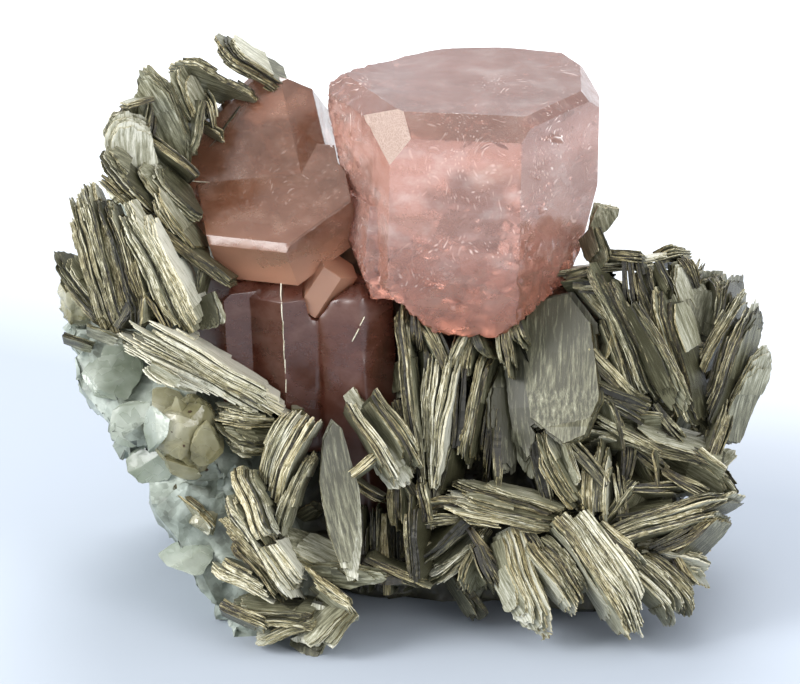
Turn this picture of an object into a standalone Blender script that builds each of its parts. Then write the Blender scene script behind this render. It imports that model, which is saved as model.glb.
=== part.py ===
"""Pink fluorapatite crystals in a nest of muscovite mica books, on the feldspar and quartz that they grew on.

The specimen stands on the flat foot of its matrix, display side towards -Y. Its front was measured on
a photograph, so a place there is given as a pixel column, a pixel row and a depth in millimetres
behind the picture plane, and at() turns those three into a point of the part. Sizes are millimetres.
"""

import math
import random
from collections import namedtuple

import bmesh
import bpy
from mathutils import Matrix, Vector, noise
from mathutils.bvhtree import BVHTree

MM = 0.001
PIXELS_PER_MM = 8.0  # the specimen is 90 mm across 720 pixels
MIDDLE_COLUMN = 400  # the pixel column over the specimen's middle
FLOOR_ROW = 652  # the pixel row where the front books touch the surface
VIEW_TILT = math.radians(22)  # how far the photograph looks down
FOOT_SETBACK = 24.0  # from the front contact line back to the middle of the foot
GAP = 0.3  # left between neighbours, so that no two pieces overlap

RIGHT = Vector((1, 0, 0))
UP = Vector((0, math.sin(VIEW_TILT), math.cos(VIEW_TILT)))
TOWARDS = Vector((0, -math.cos(VIEW_TILT), math.sin(VIEW_TILT)))


def at(column, row, depth):
    """The point seen at a pixel of the photograph, this many millimetres behind the picture plane."""
    across = (column - MIDDLE_COLUMN) / PIXELS_PER_MM
    height = (FLOOR_ROW - row) / PIXELS_PER_MM
    point = RIGHT * across + UP * height - TOWARDS * depth
    return (point - Vector((0, FOOT_SETBACK, 0))) * MM


def facing(right, up, towards):
    """A unit direction from its shares to the picture's right, up the picture and to the viewer."""
    return (RIGHT * right + UP * up + TOWARDS * towards).normalized()


# Materials


def material(name, colour, roughness):
    made = bpy.data.materials.new(name)
    made.use_nodes = True
    shader = made.node_tree.nodes["Principled BSDF"]
    shader.inputs["Base Color"].default_value = (*colour, 1)
    shader.inputs["Roughness"].default_value = roughness
    shader.inputs["Metallic"].default_value = 0
    return made


def make_materials():
    return {
        "apatite_pink": material("apatite_pink", (0.72, 0.38, 0.30), 0.10),
        "apatite_brown": material("apatite_brown", (0.42, 0.20, 0.13), 0.12),
        "apatite_dark": material("apatite_dark", (0.20, 0.08, 0.06), 0.15),
        "muscovite": material("muscovite", (0.42, 0.41, 0.31), 0.40),
        "feldspar": material("feldspar", (0.48, 0.52, 0.48), 0.60),
        "quartz": material("quartz", (0.42, 0.40, 0.27), 0.20),
    }


# Meshes and how they are cut


def new_object(name, bm, place=None):
    """An object from a bmesh in metres, in its own frame, standing at place."""
    bmesh.ops.recalc_face_normals(bm, faces=bm.faces)
    mesh = bpy.data.meshes.new(name)
    bm.to_mesh(mesh)
    bm.free()
    obj = bpy.data.objects.new(name, mesh)
    bpy.context.scene.collection.objects.link(obj)
    obj.matrix_world = place or Matrix.Identity(4)
    return obj


def new_cutter(name, bm, place=None):
    """A helper that only cuts: it shows as wire and never in a render."""
    cutter = new_object(name, bm, place)
    cutter.hide_render = True
    cutter.display_type = "WIRE"
    return cutter


def apply_modifiers(obj):
    bpy.context.view_layer.update()
    graph = bpy.context.evaluated_depsgraph_get()
    result = bpy.data.meshes.new_from_object(obj.evaluated_get(graph))
    obj.modifiers.clear()
    obj.data = result


def boolean(obj, other, operation):
    """Applies one Boolean to the object's mesh, which stays in the object's own frame."""
    modifier = obj.modifiers.new(operation.lower(), "BOOLEAN")
    modifier.operation = operation
    modifier.solver = "EXACT"
    modifier.object = other
    apply_modifiers(obj)


def world_tree(obj):
    bm = bmesh.new()
    bm.from_mesh(obj.data)
    bm.transform(obj.matrix_world)
    tree = BVHTree.FromBMesh(bm)
    bm.free()
    return tree


def separate_bodies(bm):
    """The mesh's separate bodies, as lists of faces."""
    unseen = set(bm.faces)
    bodies = []
    while unseen:
        body = []
        waiting = [unseen.pop()]
        while waiting:
            face = waiting.pop()
            body.append(face)
            for edge in face.edges:
                neighbours = [f for f in edge.link_faces if f in unseen]
                unseen.difference_update(neighbours)
                waiting.extend(neighbours)
        bodies.append(body)
    return bodies


def volume(faces):
    total = 0.0
    for face in faces:
        first = face.verts[0].co
        for i in range(1, len(face.verts) - 1):
            total += first.dot(face.verts[i].co.cross(face.verts[i + 1].co)) / 6
    return abs(total)


def keep_largest_body(obj):
    """A cut can leave crumbs: only the largest body stays. Thin leftovers of the cut are merged away."""
    bm = bmesh.new()
    bm.from_mesh(obj.data)
    bmesh.ops.remove_doubles(bm, verts=bm.verts, dist=0.005 * MM)
    bodies = sorted(separate_bodies(bm), key=volume)
    crumbs = [face for body in bodies[:-1] for face in body]
    if crumbs:
        bmesh.ops.delete(bm, geom=crumbs, context="FACES")
    bm.to_mesh(obj.data)
    bm.free()


def join(first, others):
    """Unites the pieces in the first one and removes the others."""
    for other in others:
        boolean(first, other, "UNION")
        bpy.data.objects.remove(other)
    keep_largest_body(first)


def cut_clear(obj, cutters):
    """Cuts the object clear of each cutter that it reaches."""
    for cutter in cutters:
        if world_tree(obj).overlap(world_tree(cutter)):
            boolean(obj, cutter, "DIFFERENCE")
    keep_largest_body(obj)


def cut_at_floor(obj):
    """Takes off what is below the surface that the specimen stands on, and closes the cut flat."""
    to_local = obj.matrix_world.inverted()
    normal = (to_local.to_3x3() @ Vector((0, 0, 1))).normalized()
    bm = bmesh.new()
    bm.from_mesh(obj.data)
    whole = bm.verts[:] + bm.edges[:] + bm.faces[:]
    cut = bmesh.ops.bisect_plane(
        bm,
        geom=whole,
        plane_co=to_local @ Vector((0, 0, 0)),
        plane_no=normal,
        clear_inner=True,
    )
    rim = [g for g in cut["geom_cut"] if isinstance(g, bmesh.types.BMEdge)]
    if rim:
        bmesh.ops.holes_fill(bm, edges=rim)
        bmesh.ops.recalc_face_normals(bm, faces=bm.faces)
    bm.to_mesh(obj.data)
    bm.free()


# Muscovite books: stacks of plates, ledged like the real ones

# Each outline runs round the plate: the share of the length from the foot, the share of the half width
LATH = (
    (0.0, -0.75), (0.02, 0.8), (0.15, 1.0), (0.86, 1.0), (1.0, 0.45), (0.98, -0.4), (0.9, -1.0), (0.1, -1.0),
)
LANCE = (
    (0.0, -0.3), (0.0, 0.3), (0.28, 0.8), (0.6, 1.0), (0.88, 0.62),
    (1.0, 0.1), (0.94, -0.4), (0.58, -1.0), (0.25, -0.8),
)
SHIELD = (
    (0.0, -0.5), (0.0, 0.5), (0.22, 1.0), (0.72, 1.0), (0.97, 0.4), (1.0, -0.2), (0.78, -1.0), (0.2, -1.0),
)
FAN = (
    (0.0, -0.4), (0.0, 0.4), (0.6, 0.85), (0.93, 1.0), (1.0, 0.55), (0.97, -0.6), (0.9, -1.0), (0.55, -0.85),
)

# head and foot: the ends of its middle line in the photograph. depths: of the head and of the foot.
# thick: the stack's thickness at the head, and taper its share left at the foot. wide: the plates' width.
# turn: 0 shows the plates' edges to the viewer, 90 shows the flat face.
Book = namedtuple("Book", "name head foot depths thick wide turn outline taper", defaults=(LATH, 0.8))

UPPER_LEFT_BOOKS = (
    Book("mica_crest", (211, 35), (282, 80), (10, 15), 2.2, 7, 15),
    Book("mica_crest", (204, 53), (268, 88), (10, 14), 1.6, 6, 15),
    Book("mica_crest_thin", (163, 58), (250, 104), (9, 13), 1.1, 7, -25),
    Book("mica_hook", (174, 66), (200, 122), (7, 9), 1.8, 5, 25),
    Book("mica_tall_left", (144, 61), (182, 164), (4, 8), 2.0, 4.8, -65, SHIELD),
    Book("mica_pale_plate", (122, 107), (138, 184), (3, 7), 2.0, 6.0, 80, SHIELD),
    Book("mica_fawn_wedge", (96, 146), (156, 208), (2, 5), 2.6, 6, 25, LATH, 0.6),
    Book("mica_long_dark", (92, 166), (240, 288), (5, 3), 1.4, 5, 15),
    Book("mica_diagonal", (146, 184), (208, 264), (3, 4), 2.6, 6, 20),
    Book("mica_diagonal", (155, 170), (206, 218), (5, 6), 1.6, 6, 20),
    Book("mica_pale_streaked", (128, 196), (197, 330), (0, 2), 4.0, 7, 20, LATH, 0.9),
    Book("mica_fan_inner", (106, 190), (148, 312), (1, 3), 2.8, 7, 15),
    Book("mica_fan_middle", (85, 170), (129, 325), (2, 4), 2.8, 7, 10),
    Book("mica_fan_outer", (70, 186), (120, 348), (4, 5), 2.8, 7, 10, LATH, 0.6),
    Book("mica_fan_outer", (57, 252), (114, 322), (6, 5), 2.6, 6, 30),
)

LEFT_BOOKS = (
    Book("mica_broad_left", (124, 332), (292, 410), (0, 3), 6.8, 8, 10, LATH, 0.35),
    Book("mica_shelf_upper", (209, 412), (302, 412), (0, 6), 2.6, 7, 15),
    Book("mica_shelf_lower", (214, 436), (290, 432), (0, 5), 3.4, 7, 35),
    Book("mica_uprights", (297, 406), (266, 482), (-1, 1), 2.4, 6, 10),
    Book("mica_uprights", (315, 408), (275, 500), (-2, 0), 2.5, 6, 10),
    Book("mica_twin", (312, 448), (279, 534), (-1, -1), 2.4, 5, 12, LATH, 0.6),
    Book("mica_lance", (331, 418), (351, 580), (-1, -4), 1.8, 5.0, 75, LANCE),
    Book("mica_left_main", (242, 462), (276, 544), (-1, -2), 3.4, 7, 15),
    Book("mica_left_long", (233, 486), (308, 594), (-1, -1), 3.4, 8, 15),
    Book("mica_brown_stack", (226, 520), (300, 600), (1, 0), 3.8, 7, 10),
    Book("mica_tongue", (391, 577), (292, 572), (-4, 0), 1.8, 3.6, 60, LANCE),
    Book("mica_low_shelf_upper", (214, 562), (302, 604), (2, 0), 2.2, 7, 10),
    Book("mica_low_shelf_middle", (230, 604), (322, 614), (2, 0), 2.2, 8, 20),
    Book("mica_low_shelf_middle", (252, 636), (314, 614), (1, 0), 1.6, 7, 25),
    Book("mica_low_flap", (303, 652), (322, 598), (-1, 0), 1.6, 5.0, 75, FAN),
    Book("mica_low_lath", (361, 618), (300, 576), (-2, 0), 1.7, 5, 20),
)

MIDDLE_BOOKS = (
    Book("mica_curved", (410, 492), (352, 392), (0, 4), 2.2, 5.0, 60, FAN),
    Book("mica_slim_left", (402, 300), (422, 500), (4, 0), 1.9, 6, 10, LANCE),
    Book("mica_slim_middle", (438, 334), (433, 492), (4, 2), 2.4, 6, 10, LANCE),
    Book("mica_slim_middle", (459, 334), (436, 494), (3, 1), 1.5, 5, 15),
    Book("mica_slim_tan", (492, 352), (465, 470), (5, 4), 2.0, 6, 15),
    Book("mica_dark_blade", (494, 340), (512, 480), (6, 5), 2.2, 4.6, 55, SHIELD),
    Book("mica_round_blade", (530, 486), (512, 332), (3, 5), 2.2, 4.2, 65, SHIELD),
    Book("mica_shield", (574, 454), (554, 296), (-2, 5), 2.6, 10.4, 78, SHIELD),
)

RIGHT_BOOKS = (
    Book("mica_tuft", (613, 222), (574, 208), (17, 14), 1.8, 4.6, 70, FAN),
    Book("mica_lintel", (678, 257), (560, 275), (7, 7), 1.3, 6, -6),
    Book("mica_right_first", (598, 263), (670, 418), (2, 4), 2.7, 6, 15),
    Book("mica_right_second", (640, 255), (691, 414), (4, 5), 2.8, 6, 15),
    Book("mica_right_broad", (663, 288), (702, 436), (2, 3), 3.4, 6, 28),
    Book("mica_right_behind", (674, 260), (705, 340), (8, 8), 2.2, 5.0, 50, SHIELD),
    Book("mica_right_behind", (712, 286), (700, 340), (9, 8), 2.0, 5.6, 70, SHIELD),
    Book("mica_fan_right_inner", (746, 288), (700, 382), (5, 5), 2.0, 6, 15),
    Book("mica_fan_right_middle", (755, 300), (706, 434), (3, 4), 3.0, 6, 25),
    Book("mica_fan_right_outer", (762, 345), (722, 450), (4, 5), 2.8, 6, 35),
    Book("mica_right_side", (618, 425), (724, 458), (2, 4), 1.8, 6, 25),
    Book("mica_right_side", (736, 494), (652, 440), (3, 5), 2.2, 5, 30),
    Book("mica_right_long", (737, 500), (600, 544), (1, 2), 3.3, 7, 12),
)

LOW_RIGHT_BOOKS = (
    Book("mica_big_white", (650, 642), (562, 512), (-2, 0), 5.3, 8, 12, LATH, 0.9),
    Book("mica_low_pair", (582, 604), (536, 546), (-1, 1), 3.4, 6, 15),
    Book("mica_front_book", (536, 644), (498, 524), (-2, 1), 3.6, 6, 35),
    Book("mica_low_left_spur", (424, 588), (490, 526), (3, 4), 2.4, 6, 20),
    Book("mica_long", (442, 480), (602, 524), (2, 2), 2.8, 7, 15),
    Book("mica_long", (440, 500), (556, 520), (0, 1), 3.0, 7, 20),
    Book("mica_low_fan", (682, 622), (618, 556), (2, 2), 3.2, 7, 15),
    Book("mica_low_fan", (696, 614), (640, 556), (3, 3), 2.6, 6, 15),
    Book("mica_low_fan_side", (712, 562), (636, 552), (4, 5), 3.0, 6, 20),
    Book("mica_foot_books", (538, 434), (588, 508), (2, 2), 2.4, 5, 30),
    Book("mica_foot_books", (600, 440), (600, 530), (2, 2), 3.2, 5, 15),
)

BACK_BOOKS = (
    Book("mica_back_middle", (330, 250), (370, 380), (47, 42), 3.4, 9, -50, SHIELD),
    Book("mica_back_right", (560, 300), (500, 400), (48, 42), 3.0, 9, 70, SHIELD),
)

ALL_BOOKS = LOW_RIGHT_BOOKS + LEFT_BOOKS + UPPER_LEFT_BOOKS + MIDDLE_BOOKS + RIGHT_BOOKS + BACK_BOOKS
TIER_THICKNESS = 1.0  # a book thicker than this has a ledge about this often
MOST_TIERS = 4


def book_place(book):
    """The book's own frame: +X from foot to head, +Y across the plates, +Z through the stack."""
    foot = at(*book.foot, book.depths[1])
    head = at(*book.head, book.depths[0])
    along = (head - foot).normalized()
    in_picture = along.cross(TOWARDS).normalized()
    out_of_picture = in_picture.cross(along).normalized()
    turn = math.radians(book.turn)
    through = in_picture * math.cos(turn) + out_of_picture * math.sin(turn)
    across = through.cross(along)
    place = Matrix((along, across, through)).transposed().to_4x4()
    place.translation = foot
    return place, (head - foot).length


def tier_shares(count, rng):
    """How large each tier is beside the full one: from that one the stack steps in both ways."""
    full = rng.randrange(count)
    shares = [1.0] * count
    for k in range(full + 1, count):
        shares[k] = shares[k - 1] * rng.uniform(0.86, 0.95)
    for k in range(full - 1, -1, -1):
        shares[k] = shares[k + 1] * rng.uniform(0.86, 0.95)
    return shares


def stack_mesh(book, length, shares, grow=0.0):
    """A stack of tiers in the book's own frame, grown on every side by grow."""
    bm = bmesh.new()
    half_wide = book.wide * MM / 2
    thick = book.thick * MM
    pivot = 0.35 * length

    def ring(share, level):
        points = []
        for along, across in book.outline:
            u = pivot + (along * length - pivot) * share
            v = across * half_wide * share
            swell = book.taper + (1 - book.taper) * max(0.0, min(1.0, u / length))
            w = (level - 0.5) * thick * swell
            u += math.copysign(grow, u - length / 2)
            v += math.copysign(grow, v)
            w += math.copysign(grow, level - 0.5)
            points.append(bm.verts.new((u, v, w)))
        return points

    rings = []
    for k, share in enumerate(shares):
        rings.append(ring(share, k / len(shares)))
        rings.append(ring(share, (k + 1) / len(shares)))
    bm.faces.new(rings[0][::-1])
    bm.faces.new(rings[-1])
    for low, high in zip(rings, rings[1:]):
        for k in range(len(low)):
            bm.faces.new((low[k - 1], low[k], high[k], high[k - 1]))
    return bm


def make_books(name, books, index, look):
    """Books that grew together, as one solid, and the cutters that keep later pieces off them."""
    rng = random.Random(index)
    stacks, rooms = [], []
    for k, book in enumerate(books):
        place, length = book_place(book)
        count = max(2, min(MOST_TIERS, round(book.thick / TIER_THICKNESS)))
        stacks.append(new_object(name, stack_mesh(book, length, tier_shares(count, rng)), place))
        grown = stack_mesh(book, length, [1.0], GAP * MM)
        rooms.append(new_cutter(f"{name}_room_{k}", grown, place))
    first, *others = stacks
    join(first, others)
    first.name = name
    first.data.materials.clear()
    first.data.materials.append(look)
    return first, rooms


def grouped(books):
    """The books by name, in order: those that share a name grew together."""
    groups = {}
    for book in books:
        groups.setdefault(book.name, []).append(book)
    return groups


# Apatite crystals: each is the space inside its crystal faces

PYRAMID_ANGLE = 40.3  # degrees between the c axis and the normal of a first-order pyramid face
CORNER_ANGLE = 55.8  # the same for the second-order face on a prism edge
BLANK = 60.0  # side of the cube that the faces are cut from


class Crystal:
    """A hexagonal crystal, given by its middle, its c axis and the way that its first prism face looks."""

    def __init__(self, middle, c_axis, face_axis):
        self.middle = middle
        self.c = c_axis
        self.front = (face_axis - c_axis * face_axis.dot(c_axis)).normalized()
        self.faces = []

    def prism_normal(self, turn):
        return Matrix.Rotation(math.radians(turn), 3, self.c) @ self.front

    def plane(self, normal, distance):
        self.faces.append((normal.normalized(), self.middle + normal.normalized() * distance * MM))

    def prism(self, *distances):
        """The six prism faces, anticlockwise from the first one as seen from the tip of the c axis."""
        for k, distance in enumerate(distances):
            self.plane(self.prism_normal(60 * k), distance)

    def ends(self, top, bottom):
        self.plane(self.c, top)
        self.plane(-self.c, bottom)

    def bevel(self, turn, outward, top, inset, angle=PYRAMID_ANGLE):
        """A pyramid face that leaves the end face inset from the prism face that is at outward."""
        side = self.prism_normal(turn)
        rim = self.middle + (side * (outward - inset) + self.c * top) * MM
        lean = math.radians(angle)
        self.faces.append((side * math.sin(lean) + self.c * math.cos(lean), rim))

    def outline_cut(self, start, end, lean=0.0):
        """A plane along the line of sight through two pixels, solid on its left going from start to end."""
        a, b = at(*start, 0), at(*end, 0)
        normal = (b - a).cross(TOWARDS).normalized() + TOWARDS * lean
        self.faces.append((normal.normalized(), a))

    def mesh(self, grow=0.0):
        bm = bmesh.new()
        bmesh.ops.create_cube(bm, size=BLANK * MM, matrix=Matrix.Translation(self.middle))
        for normal, point in self.faces:
            whole = bm.verts[:] + bm.edges[:] + bm.faces[:]
            cut = bmesh.ops.bisect_plane(
                bm,
                geom=whole,
                plane_co=point + normal * grow * MM,
                plane_no=normal,
                clear_outer=True,
            )
            rim = [g for g in cut["geom_cut"] if isinstance(g, bmesh.types.BMEdge)]
            if rim:
                bmesh.ops.edgenet_fill(bm, edges=rim)
        return bm


def large_crystal():
    """The pale pink crystal on top: a barrel prism with a flat end, bevelled all round."""
    one = Crystal(at(462, 197, 9), facing(0.02, 0.94, 0.333), facing(-0.07, -0.33, 0.94))
    one.prism(14.6, 14.4, 17.2, 15.2, 16.6, 14.4)
    one.plane(one.prism_normal(94), 17.0)
    one.plane(one.prism_normal(-86), 16.9)
    one.ends(15.0, 15.5)
    one.bevel(0, 14.6, 15.0, 3.0)
    one.bevel(60, 14.4, 15.0, 1.3)
    one.bevel(120, 17.2, 15.0, 0.4)
    one.bevel(180, 15.2, 15.0, 1.2)
    one.bevel(240, 16.6, 15.0, 2.2)
    one.bevel(300, 14.4, 15.0, 2.4)
    one.bevel(-30, 16.8, 15.0, 3.0, CORNER_ANGLE)
    one.bevel(94, 17.0, 15.0, 2.4, 47)
    one.outline_cut((326, 148), (351, 215))
    one.outline_cut((350, 210), (368, 296))
    one.outline_cut((380, 284), (436, 334), -0.2)
    one.outline_cut((436, 334), (498, 337), -0.3)
    one.outline_cut((496, 338), (526, 316), -0.1)
    one.outline_cut((524, 318), (563, 286))
    one.outline_cut((560, 290), (582, 247))
    one.outline_cut((580, 252), (592, 208))
    return one


def large_crystal_knob():
    """The blunt lower left corner of the large crystal, which ends higher than the rest."""
    one = Crystal(at(394, 258, 6), facing(0.1, 0.95, 0.25), facing(-0.1, -0.2, 0.95))
    one.prism(6.6, 6.2, 6.0, 6.5, 6.0, 6.0)
    one.ends(8.0, 5.2)
    one.outline_cut((364, 276), (373, 300))
    one.outline_cut((371, 300), (418, 300), -0.3)
    return one


def back_crystal():
    """The upper of the two brown crystals on the left, with its end face to the viewer."""
    one = Crystal(at(257, 140, 10), facing(-0.28, 0.36, 0.89), facing(0.95, 0.30, 0.18))
    one.prism(7.8, 8.9, 7.6, 10.3, 12.0, 12.0)
    one.ends(0.4, 13.0)
    one.bevel(0, 7.8, 0.4, 3.2)
    one.bevel(60, 8.9, 0.4, 0.8)
    one.bevel(120, 7.6, 0.4, 1.2)
    return one


def front_crystal():
    """The lower of the two, a thick hexagonal tablet that leans towards the viewer."""
    one = Crystal(at(273, 192, 5), facing(-0.25, 0.70, 0.67), facing(-0.37, -0.71, 0.60))
    one.prism(9.3, 9.4, 9.4, 9.0, 9.0, 9.3)
    one.ends(0.0, 6.6)
    one.bevel(0, 9.3, 0.0, 0.9)
    one.bevel(60, 9.4, 0.0, 0.25)
    return one


def link_crystal():
    """The small pale one between the tablet and the slender prism."""
    one = Crystal(at(324, 286, 4.5), facing(0.5, 0.75, 0.43), facing(-0.2, -0.3, 0.93))
    one.prism(2.6, 2.4, 2.6, 2.6, 2.6, 2.4)
    one.ends(3.4, 3.2)
    return one


def lower_crystal():
    """The dark prism under the tablet, with its long edges upright."""
    one = Crystal(at(291, 345, 8.8), facing(-0.04, 0.96, 0.28), facing(0.365, -0.26, 0.894))
    one.prism(5.1, 5.3, 5.2, 5.2, 5.2, 5.1)
    one.ends(9.0, 13.0)
    one.bevel(0, 5.1, 9.0, 2.2)
    one.bevel(300, 5.1, 9.0, 2.2)
    return one


def left_crystal():
    """The dark prism left of it, half behind the books."""
    one = Crystal(at(236, 342, 10.5), facing(-0.06, 0.96, 0.27), facing(0.3, -0.26, 0.9))
    one.prism(4.8, 4.8, 5.0, 5.0, 4.8, 4.8)
    one.ends(8.6, 11.0)
    one.bevel(0, 4.8, 8.6, 1.2)
    one.bevel(300, 4.8, 8.6, 2.0)
    return one


def slender_crystal():
    """The longest prism: it runs down from the tablet behind the front books."""
    one = Crystal(at(357, 408, 9.0), facing(-0.05, 0.97, 0.22), facing(-0.35, -0.2, 0.92))
    one.prism(4.6, 4.8, 5.0, 4.8, 4.8, 4.7)
    one.ends(16.5, 18.0)
    one.bevel(0, 4.6, 16.5, 2.0)
    one.bevel(60, 4.8, 16.5, 1.6)
    one.bevel(300, 4.7, 16.5, 2.6)
    return one


def make_crystal_node(name, crystals, look):
    """Crystals that grew together, as one solid, and the cutters that keep later pieces off them."""
    first, *others = [new_object(name, one.mesh()) for one in crystals]
    join(first, others)
    first.name = name
    first.data.materials.clear()
    first.data.materials.append(look)
    rooms = [new_cutter(f"{name}_room_{k}", one.mesh(GAP)) for k, one in enumerate(crystals)]
    return first, rooms


# The matrix: broken feldspar, with lumps of quartz on its left

# Corners of the two blocks, in millimetres of the part: x, y, z
LEFT_SLAB = (
    (-44.5, 5, 35), (-43.5, 2, 31), (-37.5, -6.5, 25), (-31.5, -12, 17), (-24.5, -18, 5), (-20.5, -21, 0),
    (-28.7, -7.8, 28), (-23, -12, 20), (-20.6, -17, 9.5), (-15, -17, 4), (-10, -14, 0), (-10, 5, 0),
    (-24, 8, 0), (-42, 14, 33), (-38, 22, 24), (-30, 26, 10), (-20, 28, 0), (-12, 28, 30), (-10, 10, 36),
)
CORE = (
    (-31, 3, 37), (-34, 10, 48), (-22, 18, 53), (-6, 19, 46), (10, 9, 37), (30, 7, 34), (39, 4, 25),
    (35, -4, 13), (27, -12, 4), (12, -10, 4), (0, -3, 10), (-12, 2, 24), (-36, 24, 40), (-20, 32, 48),
    (6, 32, 40), (27, 24, 29), (38, 16, 22), (34, 22, 8), (10, 33, 10), (-20, 32, 12),
    (-18, -4, 0), (1, -8, 0), (12, -9, 0), (27, -11, 0), (32, 6, 0), (24, 24, 0), (0, 30, 0), (-18, 26, 0),
)
ROCK_GRAIN = 1.6  # how fine the broken surface is
ROCK_ROUGHNESS = 1.5  # how far it stands in and out
ROCK_WAVE = 9.0  # how wide its larger bumps are
FINE_WAVE = 0.5  # how high the finer bumps are beside the larger ones
FINE_WAVES_PER_WAVE = 2.3
BLOCKY_STEP = 0.8  # how high the blocky steps of the fracture are beside the larger bumps
BED = 2.0  # how far the rock is made to reach below its foot, so that the cut there is whole
ROCK_TRIANGLES = 1300


def hull_mesh(corners):
    """The block inside these corners, with those on the foot moved down by the bed."""
    bm = bmesh.new()
    for x, y, z in corners:
        bm.verts.new(Vector((x, y, z if z > 0 else -BED)) * MM)
    hull = bmesh.ops.convex_hull(bm, input=bm.verts)
    inside = [g for g in hull["geom_interior"] if isinstance(g, bmesh.types.BMVert)]
    bmesh.ops.delete(bm, geom=inside, context="VERTS")
    return bm


def roughen(obj, depth, size):
    """Moves the surface in and out by this depth: waves of this size, finer ones and blocky steps."""
    bm = bmesh.new()
    bm.from_mesh(obj.data)
    bm.normal_update()
    shifts = []
    for vert in bm.verts:
        spot = vert.co / (size * MM)
        waves = noise.noise(spot) + FINE_WAVE * noise.noise(spot * FINE_WAVES_PER_WAVE)
        step = BLOCKY_STEP * noise.cell(spot)
        shifts.append(vert.normal * (waves + step - BLOCKY_STEP / 2) * depth * MM)
    for vert, shift in zip(bm.verts, shifts):
        vert.co += shift
    bm.to_mesh(obj.data)
    bm.free()


def decimate(obj, triangles):
    modifier = obj.modifiers.new("facets", "DECIMATE")
    modifier.ratio = triangles / max(triangles, sum(len(p.vertices) - 2 for p in obj.data.polygons))
    modifier.use_collapse_triangulate = True
    apply_modifiers(obj)


def make_matrix(look):
    rock = new_object("matrix", hull_mesh(CORE))
    slab = new_object("slab", hull_mesh(LEFT_SLAB))
    boolean(rock, slab, "UNION")
    bpy.data.objects.remove(slab)
    remesh = rock.modifiers.new("grain", "REMESH")
    remesh.mode = "VOXEL"
    remesh.voxel_size = ROCK_GRAIN * MM
    apply_modifiers(rock)
    roughen(rock, ROCK_ROUGHNESS, ROCK_WAVE)
    decimate(rock, ROCK_TRIANGLES)
    cut_at_floor(rock)
    keep_largest_body(rock)
    rock.data.materials.clear()
    rock.data.materials.append(look)
    return rock


def room_around(obj):
    """A cutter that follows the piece's surface, a gap outside it."""
    bm = bmesh.new()
    bm.from_mesh(obj.data)
    bm.normal_update()
    moved = [vert.co + vert.normal * vert.calc_shell_factor() * GAP * MM for vert in bm.verts]
    for vert, place in zip(bm.verts, moved):
        vert.co = place
    return new_cutter(obj.name + "_room", bm, obj.matrix_world)


Lump = namedtuple("Lump", "name column row depth size turn")
LUMPS = (
    Lump("quartz_yellow", 184, 434, 3.5, (8.6, 9.0, 10.4), 20),
    Lump("quartz_smoky", 76, 292, 11.0, (5.0, 7.0, 8.0), 40),
)
LUMP_TRIANGLES = 160
CHIPS = (0.22, 2.1)  # how far the chips of a unit lump stand out, and how many there are across it
WAVES = (0.10, 3.0)  # the same for its softer waves


def make_lump(lump, look):
    """A broken lump of quartz with flat conchoidal faces."""
    chip_height, chips = CHIPS
    wave_height, waves = WAVES
    own_pattern = Vector((lump.column, 0, 0))
    bm = bmesh.new()
    bmesh.ops.create_icosphere(bm, subdivisions=3, radius=0.5)
    for vert in bm.verts:
        chip = chip_height * noise.cell(vert.co * chips + own_pattern)
        wave = wave_height * noise.noise(vert.co * waves)
        vert.co *= 1 + chip + wave
    bmesh.ops.scale(bm, verts=bm.verts, vec=Vector(lump.size) * MM)
    turn = Matrix.Rotation(math.radians(lump.turn), 4, "X")
    place = Matrix.Translation(at(lump.column, lump.row, lump.depth)) @ turn
    made = new_object(lump.name, bm, place)
    decimate(made, LUMP_TRIANGLES)
    made.data.materials.clear()
    made.data.materials.append(look)
    return made


# The whole specimen


def clear_scene():
    for obj in list(bpy.data.objects):
        bpy.data.objects.remove(obj)


def main():
    clear_scene()
    looks = make_materials()
    matrix = make_matrix(looks["feldspar"])
    cutters = [room_around(matrix)]

    def settle(piece):
        cut_clear(piece, cutters)
        cut_at_floor(piece)

    for name, crystals, look in (
        ("apatite_large", [large_crystal(), large_crystal_knob()], "apatite_pink"),
        ("apatite_pair", [back_crystal(), front_crystal(), link_crystal()], "apatite_brown"),
        ("apatite_lower_group", [lower_crystal(), left_crystal(), slender_crystal()], "apatite_dark"),
    ):
        piece, rooms = make_crystal_node(name, crystals, looks[look])
        settle(piece)
        cutters += rooms

    for lump in LUMPS:
        piece = make_lump(lump, looks["quartz"])
        settle(piece)
        cutters.append(room_around(piece))

    for index, (name, books) in enumerate(grouped(ALL_BOOKS).items()):
        piece, rooms = make_books(name, books, index, looks["muscovite"])
        settle(piece)
        cutters += rooms


main()
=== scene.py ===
# %% [markdown]
# # Pink fluorapatite in a nest of mica
#
# This lesson dresses a mineral specimen: glassy pink crystals of fluorapatite, held by a nest of
# muscovite books on pale feldspar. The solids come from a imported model. Here they get what makes
# them look real: split and frayed sheets of mica, cracks and rough growth in the crystals, a grainy
# rock, the light and the camera.

import itertools
import math
import random

import bmesh
import bpy
from mathutils import Matrix, Vector, noise
from mathutils.bvhtree import BVHTree


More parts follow.
